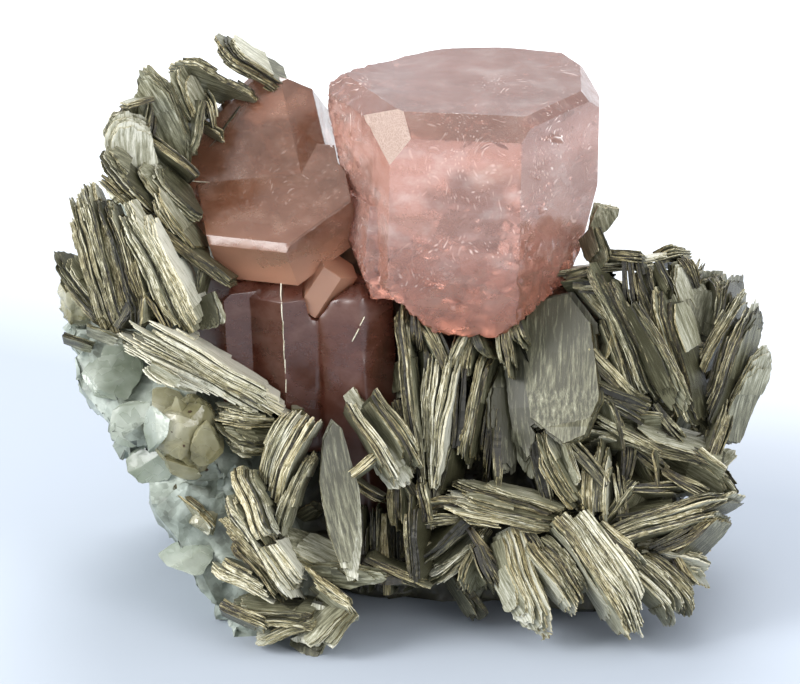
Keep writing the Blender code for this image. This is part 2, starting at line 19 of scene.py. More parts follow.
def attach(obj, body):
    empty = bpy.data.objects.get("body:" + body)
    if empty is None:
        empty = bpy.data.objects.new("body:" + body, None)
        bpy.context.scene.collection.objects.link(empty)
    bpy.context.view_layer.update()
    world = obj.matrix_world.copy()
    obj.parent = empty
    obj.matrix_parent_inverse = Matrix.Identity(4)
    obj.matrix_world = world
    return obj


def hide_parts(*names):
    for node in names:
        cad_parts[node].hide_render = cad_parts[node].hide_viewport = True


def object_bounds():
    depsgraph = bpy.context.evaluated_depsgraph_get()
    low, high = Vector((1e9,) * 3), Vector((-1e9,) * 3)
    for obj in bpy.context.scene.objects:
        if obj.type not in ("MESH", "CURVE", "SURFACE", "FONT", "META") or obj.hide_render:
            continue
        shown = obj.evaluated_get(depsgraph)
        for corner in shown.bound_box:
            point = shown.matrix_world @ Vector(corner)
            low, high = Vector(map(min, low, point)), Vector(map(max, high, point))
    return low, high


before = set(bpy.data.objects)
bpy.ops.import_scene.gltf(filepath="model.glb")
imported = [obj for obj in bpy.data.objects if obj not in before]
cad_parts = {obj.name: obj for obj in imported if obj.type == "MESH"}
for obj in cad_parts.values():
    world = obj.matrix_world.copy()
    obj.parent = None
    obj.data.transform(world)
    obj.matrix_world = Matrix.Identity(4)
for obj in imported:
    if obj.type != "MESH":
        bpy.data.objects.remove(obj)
cad_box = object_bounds()
MM = 0.001
print("solids:", len(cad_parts), "box in mm:", [round(c / MM, 1) for c in (cad_box[1] - cad_box[0])])

# %% [markdown]
# ## The camera
#
# The photograph looks down on the specimen by 22 degrees from far away with a long lens, so near and
# far pieces keep their sizes. A wide lens close by would also fill the picture, but it would swell
# the front books. So the camera stands two metres away, and its lens makes 100 mm fill the width.

# %% The camera
VIEW_TILT = math.radians(22)
CAMERA_DISTANCE = 2.0  # m
PICTURE_WIDTH = 0.100  # m
PICTURE_MIDDLE = Vector((0, -9.5, 35.9)) * MM

RIGHT = Vector((1, 0, 0))
UP = Vector((0, math.sin(VIEW_TILT), math.cos(VIEW_TILT)))
TOWARDS = Vector((0, -math.cos(VIEW_TILT), math.sin(VIEW_TILT)))

camera_data = bpy.data.cameras.new("camera")
camera_data.lens = camera_data.sensor_width * CAMERA_DISTANCE / PICTURE_WIDTH
camera_data.clip_end = 10
camera = bpy.data.objects.new("camera", camera_data)
camera.matrix_world = Matrix((RIGHT, UP, TOWARDS)).transposed().to_4x4()
camera.location = PICTURE_MIDDLE + TOWARDS * CAMERA_DISTANCE
bpy.context.scene.collection.objects.link(camera)
bpy.context.scene.camera = camera
bpy.context.scene.view_settings.view_transform = "Standard"
print("lens in mm:", round(camera_data.lens))

# %% [markdown]
# ## Places read off the photograph
#
# The solids were placed by pixels of the photograph: 8 pixels are a millimetre, and a depth says how
# far a point lies behind the picture plane. The small pieces below are placed in the same way, so the
# same function turns a pixel and a depth into a point.

# %% From a pixel to a point
PIXELS_PER_MM = 8.0
MIDDLE_COLUMN = 400  # where x = 0 is seen
FLOOR_ROW = 652
FOOT_SETBACK = 24.0  # mm from the picture plane at the floor back to the foot's middle


def at(column, row, depth):
    """The point, in millimetres, seen at a pixel of the photograph, this far behind the picture plane."""
    across = (column - MIDDLE_COLUMN) / PIXELS_PER_MM
    height = (FLOOR_ROW - row) / PIXELS_PER_MM
    return RIGHT * across + UP * height - TOWARDS * depth - Vector((0, FOOT_SETBACK, 0))


def pixel_of(point):
    """The column, the row and the depth of a point given in millimetres."""
    offset = point + Vector((0, FOOT_SETBACK, 0))
    column = MIDDLE_COLUMN + offset.dot(RIGHT) * PIXELS_PER_MM
    return column, FLOOR_ROW - offset.dot(UP) * PIXELS_PER_MM, -offset.dot(TOWARDS)


print("the foot is seen at", [round(c) for c in pixel_of(Vector((0, 0, 0)))])

# %% [markdown]
# ## Colours and nodes
#
# Colours are written as on a paint chart, in sRGB hex, and one function turns them into the linear
# values that the renderer adds up. One function adds a node with its settings and links. The short
# ones after it name the kinds of node that come again and again.

# %% Colour and node helpers


def linear(hex_colour):
    """The linear RGBA of an sRGB hex colour such as c9c3ae."""
    channels = [int(hex_colour[k : k + 2], 16) / 255 for k in (0, 2, 4)]
    return [c / 12.92 if c <= 0.04045 else ((c + 0.055) / 1.055) ** 2.4 for c in channels] + [1]


def feed(tree, node, inputs):
    """Gives a node's sockets, by name or number, a value or another node's output."""
    for socket, value in inputs.items():
        if isinstance(value, bpy.types.NodeSocket):
            tree.links.new(value, node.inputs[socket])
        else:
            node.inputs[socket].default_value = value


def add(tree, kind, inputs=None, **settings):
    """A new shader node of a kind such as Math."""
    node = tree.nodes.new("ShaderNode" + kind)
    for name, value in settings.items():
        setattr(node, name, value)
    feed(tree, node, inputs or {})
    return node


def new_material(name):
    """A material with its node tree and its Principled shader."""
    made = bpy.data.materials.new(name)
    made.use_nodes = True
    return made, made.node_tree, made.node_tree.nodes["Principled BSDF"]


def place_of(tree):
    """The place on the object."""
    return add(tree, "TexCoord").outputs["Object"]


def measure(tree, name, output="Fac"):
    """A measure that the mesh carries with it."""
    return add(tree, "Attribute", attribute_name=name).outputs[output]


def calculate(tree, operation, *values, **settings):
    return add(tree, "Math", dict(enumerate(values)), operation=operation, **settings).outputs[0]


def rescale(tree, value, low=0.0, high=1.0, to_low=0.0, to_high=1.0):
    """Turns the range from low to high into that from to_low to to_high, and holds what lies outside."""
    limits = {"From Min": low, "From Max": high, "To Min": to_low, "To Max": to_high}
    return add(tree, "MapRange", {"Value": value, **limits}).outputs[0]


def mix(tree, share, first, second):
    """A colour between two, each of them a socket or a hex colour."""
    first, second = (linear(c) if isinstance(c, str) else c for c in (first, second))
    return add(tree, "Mix", {"Factor": share, "A": first, "B": second}, data_type="RGBA").outputs["Result"]


def ramp(tree, value, *stops):
    """A colour ramp. Its stops are pairs of a position and a hex colour."""
    node = add(tree, "ValToRGB", {0: value})
    elements = node.color_ramp.elements
    while len(elements) < len(stops):
        elements.new(0.5)
    for element, (position, colour) in zip(elements, stops):
        element.position = position
        element.color = linear(colour)
    return node.outputs["Color"]


def clouds(tree, place, size, detail, **more):
    """Noise in soft patches of this size in millimetres."""
    inputs = {"Vector": place, "Scale": 1 / (size * MM), "Detail": detail, **more}
    return add(tree, "TexNoise", inputs).outputs


def cells(tree, place, size, **settings):
    """Cells of this size in millimetres, or with feature="DISTANCE_TO_EDGE" the lines between them."""
    return add(tree, "TexVoronoi", {"Vector": place, "Scale": 1 / (size * MM)}, **settings).outputs


def bend_place(tree, place, cloud_colour, reach):
    """The place, moved about by clouds, as far as the reach in millimetres."""
    inputs = {0: cloud_colour, 1: (reach * MM,) * 3, 2: place}
    return add(tree, "VectorMath", inputs, operation="MULTIPLY_ADD").outputs[0]


def relief(tree, height, strength, depth):
    """A bump of this depth in millimetres, as the direction that the surface seems to face."""
    inputs = {"Height": height, "Strength": strength, "Distance": depth * MM}
    return add(tree, "Bump", inputs).outputs["Normal"]


print("a pale cream in linear values:", [round(c, 2) for c in linear("f3dac6")])

# %% [markdown]
# ## Muscovite
#
# Muscovite is a mica: it grows as books of thin sheets that split perfectly. The edges of a book are
# silky and streaked along the sheets, from cream to olive brown, like old wood. Its flat faces are
# smoother and silvery, with a pearly shine. Every sheet carries its own measures: where a point lies
# along, across and through the book, how pale and how golden the sheet is, and whether a face is its
# edge. So the streaks follow every sheet whichever way it leans.

# %% Muscovite, split along its sheets
STREAK_LENGTH = 3.6  # mm, how long a streak runs along the sheet
STREAK_WIDTH = 0.42  # mm across a flat face
LAYER_STEP = 0.11  # mm, the layers in a sheet's edge, drawn coarser than the real ones to show
FACE_CONTRAST, EDGE_CONTRAST = 2.8, 5.0  # how strongly the streaks show on flat faces and on edges
FACE_ROUGHNESS, EDGE_ROUGHNESS = 0.4, 0.5
GOLD_PATCH = 5.0  # mm, how wide the more golden patches are
MICA_IOR = 1.58
GREY = (0, "1a180b"), (0.25, "464226"), (0.5, "7b7654"), (0.75, "b0aa89"), (1, "e3dfcb")
GOLDEN = (0, "251e0f"), (0.3, "64562d"), (0.55, "a09263"), (0.8, "c4b88d"), (1, "e5dcbd")
SILVER = (0, "3f3d2a"), (0.35, "74725a"), (0.65, "a3a189"), (1, "dcdac9")  # the flat faces


def make_muscovite():
    made, tree, shader = new_material("muscovite_split_sheets")
    tone, gold, edge = (measure(tree, name) for name in ("tone", "gold", "edge"))
    per_mm = (1 / STREAK_LENGTH, 1 / STREAK_WIDTH, 1 / LAYER_STEP)
    inside = {0: measure(tree, "grain", "Vector"), 1: per_mm}
    drawn_out = add(tree, "VectorMath", inside, operation="MULTIPLY")
    noise_inputs = {"Vector": drawn_out.outputs[0], "Scale": 1.0, "Detail": 7.0, "Roughness": 0.75}
    streaks = add(tree, "TexNoise", noise_inputs).outputs["Fac"]
    contrast = rescale(tree, edge, to_low=FACE_CONTRAST, to_high=EDGE_CONTRAST)
    level = calculate(tree, "MULTIPLY_ADD", calculate(tree, "SUBTRACT", streaks, 0.5), contrast, tone)
    grey, golden, silver = (ramp(tree, level, *stops) for stops in (GREY, GOLDEN, SILVER))
    patch = rescale(tree, clouds(tree, place_of(tree), GOLD_PATCH, 3.0)["Fac"], 0.4, 0.65)
    golden_share = calculate(tree, "MULTIPLY_ADD", patch, 0.5, gold, use_clamp=True)
    feed(tree, shader, {
        "Base Color": mix(tree, edge, silver, mix(tree, golden_share, grey, golden)),
        "Roughness": rescale(tree, edge, to_low=FACE_ROUGHNESS, to_high=EDGE_ROUGHNESS),
        "Normal": relief(tree, streaks, 0.75, 0.12),
        "IOR": MICA_IOR,
    })
    return made


muscovite = make_muscovite()
print("muscovite nodes:", len(muscovite.node_tree.nodes))

# %% [markdown]
# ## Apatite
#
# Fluorapatite is a glassy mineral of index 1.63. These crystals are see-through but cloudy: the pink
# sits all through the body, so it deepens with the path that light takes. A surface colour would look
# like painted plastic. A volume that absorbs light, behind a clear skin, deepens by itself where the
# crystal is thick, and a small share of plain reflection gives the milky look.
#
# Three measures change it from place to place. One strews short bright flecks: painted glints, where
# tiny cracks catch the light, in whitish veils. One turns a facet dry and cream-coloured, with fine
# lines. One paints the top of the large crystal a greyer pink, as painted shade, and gives the small
# crystal under the brown pair its own paler pink.

# %% Apatite, clear with an absorbing body
APATITE_IOR = 1.63
ETCH_SIZE = 4.5  # mm, how wide the duller patches of the skin are
GROWTH_FLATNESS = 1.6  # the patches are this much flatter than wide, because the crystal grew in layers
ROOT_DULLNESS = 0.16  # how much rougher the dissolved root is
CRAZED_DULLNESS = 0.4  # how much rougher a crazed facet is
CRACKLE_SIZE = 5.0  # mm between the healed cracks
FLECK_SIZE = 0.6  # mm between the flecks of a veil
FLECK_FLATNESS = 0.33  # the flecks are three times as long as wide
CRAZING_SIZE = 0.4  # mm between the lines of a crazed facet


def make_apatite(name, milk, root_colour_and_painted_light, root_heights, clear_share, body, density, roughness):
    """milk: its three shades. root_heights: in mm, where the lower end's colour fades out upwards."""
    made, tree, shader = new_material(name)
    place = place_of(tree)
    layers = add(tree, "Mapping", {"Vector": place, "Scale": (1, 1, GROWTH_FLATNESS)}).outputs[0]
    etch = clouds(tree, layers, ETCH_SIZE, 7.0, Roughness=0.62)
    etched = etch["Fac"]
    milky = ramp(tree, etched, *zip((0.32, 0.52, 0.68), milk))
    bent = bend_place(tree, place, etch["Color"], 4)
    crackle = cells(tree, bent, CRACKLE_SIZE, feature="DISTANCE_TO_EDGE")["Distance"]
    line = rescale(tree, crackle, 0.0, 0.02, 0.22, 0.0)
    # A greyer pink mixed in: painted shade on the large crystal's top, and the own paler colour of the pair's
    # small crystal.
    tinted_and_shaded = mix(tree, measure(tree, "own_tint_and_top_shade"), mix(tree, line, milky, milk[2]), "9a776c")
    height = add(tree, "SeparateXYZ", {0: place}).outputs[2]
    root = rescale(tree, height, root_heights[0] * MM, root_heights[1] * MM, 1.0, 0.0)

    swirled = bend_place(tree, place, clouds(tree, place, 6.0, 1.0)["Color"], 12)
    strokes = add(tree, "Mapping", {"Vector": swirled, "Scale": (1.0, 1.0, FLECK_FLATNESS)}).outputs[0]
    fine = cells(tree, strokes, FLECK_SIZE)
    stroke = rescale(tree, fine["Distance"], 0.12, 0.38, 1.0, 0.0)
    chance = add(tree, "SeparateColor", {0: fine["Color"]}).outputs[0]
    flakes = calculate(tree, "MULTIPLY", stroke, rescale(tree, chance, 0.1, 0.6))
    # Painted glints: near-white flecks painted into the colour where the veils lie.
    fleck = calculate(tree, "MULTIPLY", flakes, measure(tree, "veil_and_painted_glints"))
    crazing = cells(tree, swirled, CRAZING_SIZE, feature="DISTANCE_TO_EDGE")["Distance"]
    dry = mix(tree, rescale(tree, crazing, 0.0, 0.2, 1.0, 0.0), "a28678", "bca394")
    crazed = measure(tree, "crazed")

    glinting = mix(tree, fleck, mix(tree, root, tinted_and_shaded, root_colour_and_painted_light), "fff1e8")
    gloss = rescale(tree, etched, 0.35, 0.7, roughness, roughness + 0.2)
    dull = calculate(tree, "MULTIPLY_ADD", root, ROOT_DULLNESS, gloss)
    opaque = calculate(tree, "MAXIMUM", fleck, crazed)
    feed(tree, shader, {
        "Base Color": mix(tree, crazed, glinting, dry),
        "Transmission Weight": rescale(tree, opaque, to_low=clear_share, to_high=0.1),
        "IOR": APATITE_IOR,
        "Roughness": calculate(tree, "MULTIPLY_ADD", crazed, CRAZED_DULLNESS, dull),
        "Normal": relief(tree, etched, 0.3, 0.2),
    })
    absorb = add(tree, "VolumeAbsorption", {"Color": linear(body), "Density": density})
    feed(tree, tree.nodes["Material Output"], {"Volume": absorb.outputs["Volume"]})
    return made


# The lower end's colour is the dissolved root's own for the pink and the dark crystals.
apatite_pink = make_apatite(
    "apatite_pale_pink", ("c99786", "d8ac9e", "ebcfc5"), "bf7556", (36, 50), 0.64, "dab0a0", 20.0, 0.06
)
# The brown pair's lower end is painted a light peach: painted light on its lower faces, which turn down away
# from the lamps.
apatite_brown = make_apatite(
    "apatite_brown_pink", ("8a5a42", "9b6a51", "b4866f"), "e6ae8e", (43, 49), 0.62, "bb8767", 50.0, 0.12
)
apatite_dark = make_apatite(
    "apatite_mauve_brown", ("6a3828", "7d4838", "946352"), "70402f", (12, 30), 0.62, "a8604c", 56.0, 0.2
)
print("apatites:", apatite_pink.name, apatite_brown.name, apatite_dark.name)

# %% [markdown]
# ## Feldspar and quartz
#
# The matrix is broken pegmatite: greenish white feldspar with grey quartz. Broken feldspar is sugary
# and dull with bright cleavage flecks, so its colour is a mix of clouds and of grains a millimetre
# wide, each with its own shade. Behind the books the rock is painted dark olive brown: painted shade
# of the deep gaps between the books.

# %% Feldspar and quartz, as broken
ROCK_IOR = 1.53
SHADE_FROM, SHADE_TO = -17, -10  # mm in x, where the painted shade behind the books sets in
SHADE_BACK, SHADE_FRONT = 14, 6  # mm in y, likewise


def make_rock(name, shades, roughness, grain, clear_share, speckle, painted_shade_colours=()):
    """grain: in mm. speckle: how much the grains differ. The last argument: the dark colours painted behind the
    books as shade.
    """
    made, tree, shader = new_material(name)
    place = place_of(tree)
    cloud = clouds(tree, place, grain * 5, 6.0)["Fac"]
    shade = add(tree, "SeparateColor", {0: cells(tree, place, grain)["Color"]}).outputs[0]
    level = calculate(tree, "MULTIPLY_ADD", calculate(tree, "SUBTRACT", shade, 0.5), speckle, cloud)
    colour = ramp(tree, level, *zip((0.28, 0.42, 0.55, 0.7), shades))
    # Behind the books the colour turns to the dark shades: painted shade of the deep gaps between the books.
    if painted_shade_colours:
        dark = ramp(tree, level, *zip((0.3, 0.5, 0.7), painted_shade_colours))
        x, y = add(tree, "SeparateXYZ", {0: place}).outputs[0:2]
        right = rescale(tree, x, SHADE_FROM * MM, SHADE_TO * MM)
        front = rescale(tree, y, SHADE_BACK * MM, SHADE_FRONT * MM)
        colour = mix(tree, calculate(tree, "MULTIPLY", right, front), colour, dark)
    feed(tree, shader, {
        "Base Color": colour,
        "Roughness": rescale(tree, shade, to_low=roughness - 0.2, to_high=roughness + 0.15),
        "Normal": relief(tree, level, 0.6, 0.4),
        "Transmission Weight": clear_share,
        "IOR": ROCK_IOR,
    })
    return made


# Painted shade: the dark olive browns painted on the rock behind the books, where the gaps lie deep.
shade_behind_books = ("1e1c12", "373424", "5e5b45")
feldspar = make_rock("feldspar_broken", ("5b6055", "80877c", "9aa297", "c0c7bd"), 0.5, 0.8, 0.0, 0.13, shade_behind_books)
quartz = make_rock("quartz_broken", ("756f4e", "96906c", "b0ab8b", "cfcbb3"), 0.25, 1.2, 0.3, 0.04)
print("rock materials:", feldspar.name, quartz.name)

# %% [markdown]
# ## Measuring a book
#
# A book of mica could be drawn as one block with lines on it, but its outline would stay too clean.
# Here each solid is cut across its layers at many levels, as a knife would split it. First the book
# is measured: most of its area faces the way that its plates do, and its longest way within the
# plates runs from the rooted end to the free one.

# %% Measuring a book
SAME_WAY = 0.985  # the cosine from which two faces count as facing the same way
DIRECTIONS = 36  # tried within the plates, over half a turn
HEART = Vector((0, 10, 26))  # mm, the books grow away from here


def merged_copy(name):
    """A bmesh of a node's solid in millimetres, with the corners of its triangles merged."""
    bm = bmesh.new()
    bm.from_mesh(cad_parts[name].data)
    bmesh.ops.remove_doubles(bm, verts=bm.verts, dist=1e-6)
    bmesh.ops.scale(bm, vec=(1 / MM, 1 / MM, 1 / MM), verts=bm.verts)
    return bm


def extent(bm, direction):
    """Where a mesh begins and ends along a direction."""
    reach = [v.co.dot(direction) for v in bm.verts]
    return min(reach), max(reach)


def plate_normal(bm):
    """The direction that most of a book's area faces."""
    best, best_area = None, -1
    for face in bm.faces:
        area = sum(f.calc_area() for f in bm.faces if abs(f.normal.dot(face.normal)) > SAME_WAY)
        if area > best_area:
            best, best_area = face.normal.copy(), area
    return best


def long_direction(bm, normal):
    """The direction within the plates along which the book is longest."""
    first = normal.orthogonal().normalized()
    second = normal.cross(first)
    best, best_span = None, -1
    for step in range(DIRECTIONS):
        turn = math.pi * step / DIRECTIONS
        direction = first * math.cos(turn) + second * math.sin(turn)
        start, end = extent(bm, direction)
        if end - start > best_span:
            best, best_span = direction, end - start
    return best


def axes_of(along, through, origin):
    """A book's own frame: +X along the book, +Y across it, +Z through its sheets."""
    axes = Matrix((along, through.cross(along), through)).transposed().to_4x4()
    axes.translation = origin
    return axes


def book_axes(bm):
    """The frame of a solid, with +X from its rooted end to its free end."""
    through = plate_normal(bm)
    along = long_direction(bm, through)
    middle = sum((v.co for v in bm.verts), Vector()) / len(bm.verts)
    ends = [middle + along * (value - middle.dot(along)) for value in extent(bm, along)]
    if (ends[0] - HEART).length > (ends[1] - HEART).length:
        along = -along
    if through.dot(TOWARDS) < 0:
        through = -through
    return axes_of(along, through, middle)


def axes_between(root, tip, turn):
    """The frame of a book given by its ends. turn 0 shows its sheets' edges, 90 their flat faces."""
    along = (tip - root).normalized()
    in_picture = along.cross(TOWARDS).normalized()
    out_of_picture = in_picture.cross(along).normalized()
    angle = math.radians(turn)
    return axes_of(along, in_picture * math.cos(angle) + out_of_picture * math.sin(angle), root)


print("a measured book:", [round(c, 2) for c in book_axes(merged_copy("mica_shield")).col[2][:3]])

# %% [markdown]
# ## One sheet
#
# Each sheet starts as a flat outline. Its rim is divided into short steps, and smooth noise pulls
# them in: one part frays the free end into splinters, another makes the long sides wander. Cuts
# across the sheet let it bend without creases. Then it is extruded to its thickness, which thins out
# towards the free end.

# %% One frayed sheet
RIM_STEP = 0.45  # mm between points on a sheet's rim
BEND_STEP = 1.6  # mm between the cuts that let a sheet bend
THINS_FROM = 0.6  # share of the length from which a sheet thins out
TIP_THINNING = 0.55  # share of its thickness that it loses up to its free end
EDGE_TILT = 0.6  # a face whose normal leans further from the pile's axis is an edge
PALE_TIP = 0.34  # how much paler the free end is than the rooted one
OWN_TONE_AT = 0.68  # share of the length where a sheet has the book's own tone
SHEET_SHIFT = 17.3  # mm that the streaks shift along per mm through the book, so that no two sheets match


def clamp(value):
    return max(0.0, min(1.0, value))


def wobble(x, y, z):
    return noise.noise(Vector((x, y, z)))


def cut(bm, point, normal, **sides):
    """Cuts a mesh along a plane. clear_outer and clear_inner take away what lies on a side."""
    everything = bm.verts[:] + bm.edges[:] + bm.faces[:]
    return bmesh.ops.bisect_plane(bm, geom=everything, plane_co=point, plane_no=normal, **sides)


def divide_rim(sheet):
    for edge in list(sheet.edges):
        steps = int(edge.calc_length() / RIM_STEP)
        if steps > 0:
            bmesh.ops.subdivide_edges(sheet, edges=[edge], cuts=steps)


def fray(sheet, span, rng, look, level):
    """Pulls in the free end in splinters and lets the sides wander. span: the book's start and length."""
    start, length = span
    ys = [v.co.y for v in sheet.verts]
    half = max(0.4, (max(ys) - min(ys)) / 2)
    centre = (max(ys) + min(ys)) / 2
    seed = rng.uniform(0, 900)
    slant = rng.uniform(-0.6, 0.6) * look["fray"]
    short = 1.5 * rng.uniform(0, 1) ** 2 * look["fray"]
    rounding = look["round"] * abs(2 * level - 1) ** 1.8
    slide = rng.gauss(0, look["slide"])
    for v in sheet.verts:
        share = (v.co.x - start) / length
        side = (v.co.y - centre) / half
        splinter = wobble(v.co.y * 1.4, seed, 0) + 0.6 * wobble(v.co.y * 4.1, seed, 3)
        torn = short + rounding + slant * side + 0.45 * look["fray"] * splinter
        v.co.x -= max(0.0, torn) * max(0.0, share) ** 3 * length
        v.co.x += 0.5 * rounding * (1 - clamp(share)) ** 4 * length
        lane = math.copysign(7.0, side)
        wander = wobble(v.co.x * 0.3, seed, lane) + 0.5 * wobble(v.co.x * 1.5, seed, lane)
        wander += 0.25 * wobble(v.co.x * 4.0, seed, lane)
        point = look["point"] * max(0.0, share - 0.55) ** 2 * 4
        v.co.y = centre + (v.co.y - centre) * (1 - point) - side * look["wander"] * (0.5 + wander) + slide


def thicken(sheet, span, thick):
    """Cuts the sheet across so that it can bend, and extrudes it. It thins out at its free end."""
    start, length = span
    cuts = max(2, int(length / BEND_STEP))
    for k in range(1, cuts):
        cut(sheet, (start + length * k / cuts, 0, 0), (1, 0, 0))
    made = bmesh.ops.extrude_face_region(sheet, geom=sheet.faces[:])
    for v in made["geom"]:
        if isinstance(v, bmesh.types.BMVert):
            share = (v.co.x - start) / length
            v.co.z += thick * (1 - TIP_THINNING * clamp((share - THINS_FROM) / (1 - THINS_FROM)))


def bend(sheet, span, rng, look, level):
    """Lifts the sheet away from the pile's middle towards the free end, and bends it as its neighbours."""
    start, length = span
    ripple = rng.uniform(0, 900)
    for v in sheet.verts:
        share = (v.co.x - start) / length
        lift = look["fan"] * (level - 0.5) * max(0.0, share) ** 2
        curl = look["bend"] * ((share - 0.5) ** 2 - 0.08)
        wave = 0.5 * wobble(v.co.x * 0.16, v.co.y * 0.2, v.co.z * 0.35 + look["seed"])
        v.co.z += lift + curl + wave + 0.07 * wobble(v.co.x * 0.5, v.co.y * 0.4, ripple)


def measure_layers(bm):
    """The measures of mica: the place in the book, the tone, the goldness, and which faces are edges."""
    floats = bm.verts.layers.float
    place = bm.verts.layers.float_vector.new("grain")
    return place, floats.new("tone"), floats.new("gold"), bm.faces.layers.float.new("edge")


def write_measures(sheet, span, level_mm, tone, gold):
    """Stores what the material reads."""
    grain, tones, golds, edges = measure_layers(sheet)
    sheet.normal_update()
    for face in sheet.faces:
        face[edges] = 1.0 if abs(face.normal.z) < EDGE_TILT else 0.0
    for v in sheet.verts:
        v[grain] = (v.co.x + level_mm * SHEET_SHIFT, v.co.y, level_mm + v.co.z)
        v[tones] = tone + PALE_TIP * ((v.co.x - span[0]) / span[1] - OWN_TONE_AT)
        v[golds] = gold


def new_book():
    """An empty bmesh that holds the same measures as a sheet."""
    book = bmesh.new()
    measure_layers(book)
    return book


def join(target, part):
    """Adds a part to another bmesh, and frees it."""
    mesh = bpy.data.meshes.new("part")
    part.to_mesh(mesh)
    part.free()
    target.from_mesh(mesh)
    bpy.data.meshes.remove(mesh)


def keep(target, part, place):
    """Adds a finished part, moved from its own frame in millimetres to its place."""
    bmesh.ops.recalc_face_normals(part, faces=part.faces)
    part.transform(Matrix.Scale(MM, 4) @ place)
    join(target, part)


sample = new_book()
print("the measures of a sheet:", *sample.verts.layers.float.keys(), *sample.faces.layers.float.keys())
sample.free()

# %% [markdown]
# ## Bundles of sheets
#
# The sheets of a book don't lie in one neat pile. They hold together in bundles about a millimetre
# thick, and each bundle is turned a little and slid along its neighbours, which gives the book its
# ledges. So the pile is planned first, bundle by bundle and sheet by sheet, and every sheet is then
# cut from the solid at its own level.

# %% The plan of a pile
COMMON_LOOK = {
    "fray": 0.12,  # share of the length that the free end is torn back
    "round": 0.14,  # share by which the outer sheets are shorter
    "point": 0.3,  # how much a sheet narrows to its free end
    "slide": 0.14,  # mm that sheets lie shifted across
    "wander": 0.35,  # mm that the long sides wander
    "fan": 0.4,  # mm that the sheets part at the free end
    "curl": 1.6,  # mm by which the whole book is bent, as a spread
    "sheet": 0.2,  # mm, a sheet's thickness
    "bundle": 0.9,  # mm, a bundle's thickness
    "swing": 2.0,  # degrees between bundles
    "tone": 0.5,  # 0 dark, 1 pale
    "spread": 0.15,  # of the tone, from bundle to bundle
    "dark": 0.2,  # share of the sheets that are painted dark, as painted shade of the gaps between sheets
    "gold": 0.12,  # share of the golden tint
}


LEAST_STEP = 0.12  # mm, a pile ends when less than this is left
OPEN_SHARE = 0.78  # of its step that the last sheet of a bundle fills, which leaves a gap
GAP_SHADE_DROP = 0.45  # how much darker a sheet is where the gap's shade is painted


def plan_pile(low, high, rng, look):
    """The sheets from low to high. Each is its level and its step in mm, the share of the step that it
    fills, its swing in degrees, its slide in mm, its tone and its goldness."""
    plan = []
    level = low + 0.02
    left = 0.0
    while level < high - LEAST_STEP:
        if left <= 0:
            left = look["bundle"] * rng.uniform(0.5, 1.6)
            swing = rng.gauss(0, look["swing"])
            slide = rng.gauss(0, 0.35)
            bundle_tone = rng.gauss(look["tone"], look["spread"])
            gold = clamp(rng.gauss(look["gold"], 0.25))
        step = min(look["sheet"] * min(4.0, max(0.5, math.exp(rng.gauss(-0.05, 0.6)))), high - level)
        packed = OPEN_SHARE if left < step else rng.uniform(0.93, 1.0)
        tone = bundle_tone + rng.gauss(0, 0.8 * look["spread"])
        # Some inner sheets are painted dark: painted shade of the gaps between the sheets.
        if rng.random() < look["dark"] and 0.1 < (level - low) / (high - low) < 0.8:
            tone -= GAP_SHADE_DROP
        plan.append((level, step, packed, swing, slide, tone, gold))
        level += step
        left -= step
    return plan


def add_sheet(book, outline, place, span, low, high, step, rng, look):
    """Finishes one sheet from its outline, which lies at z = 0 of the book's frame."""
    level, thick, packed, swing, slide, tone, gold = step
    share = (level + thick / 2 - low) / (high - low)
    divide_rim(outline)
    fray(outline, span, rng, look, share)
    pivot = Vector((span[0], 0, 0))
    turn = Matrix.Rotation(math.radians(swing), 4, "Z") @ Matrix.Translation(-pivot)
    outline.transform(Matrix.Translation((slide, 0, level)) @ (Matrix.Translation(pivot) @ turn))
    thicken(outline, span, thick * packed)
    write_measures(outline, span, level, tone, gold)
    bend(outline, span, rng, look, share)
    keep(book, outline, place)


print("sheets in a pile of 3 mm:", len(plan_pile(0.0, 3.0, random.Random(1), COMMON_LOOK)))

# %% [markdown]
# ## Cutting every book
#
# The tables say how each book differs from the common one: how frayed its end is, how thick its
# sheets are, how pale and how golden they are. A solid that holds two grown-together stacks is cut
# twice, each time within the box of one stack, so that the sheets of both lie the right way. The rest
# is chance, from a seed that is the book's number.

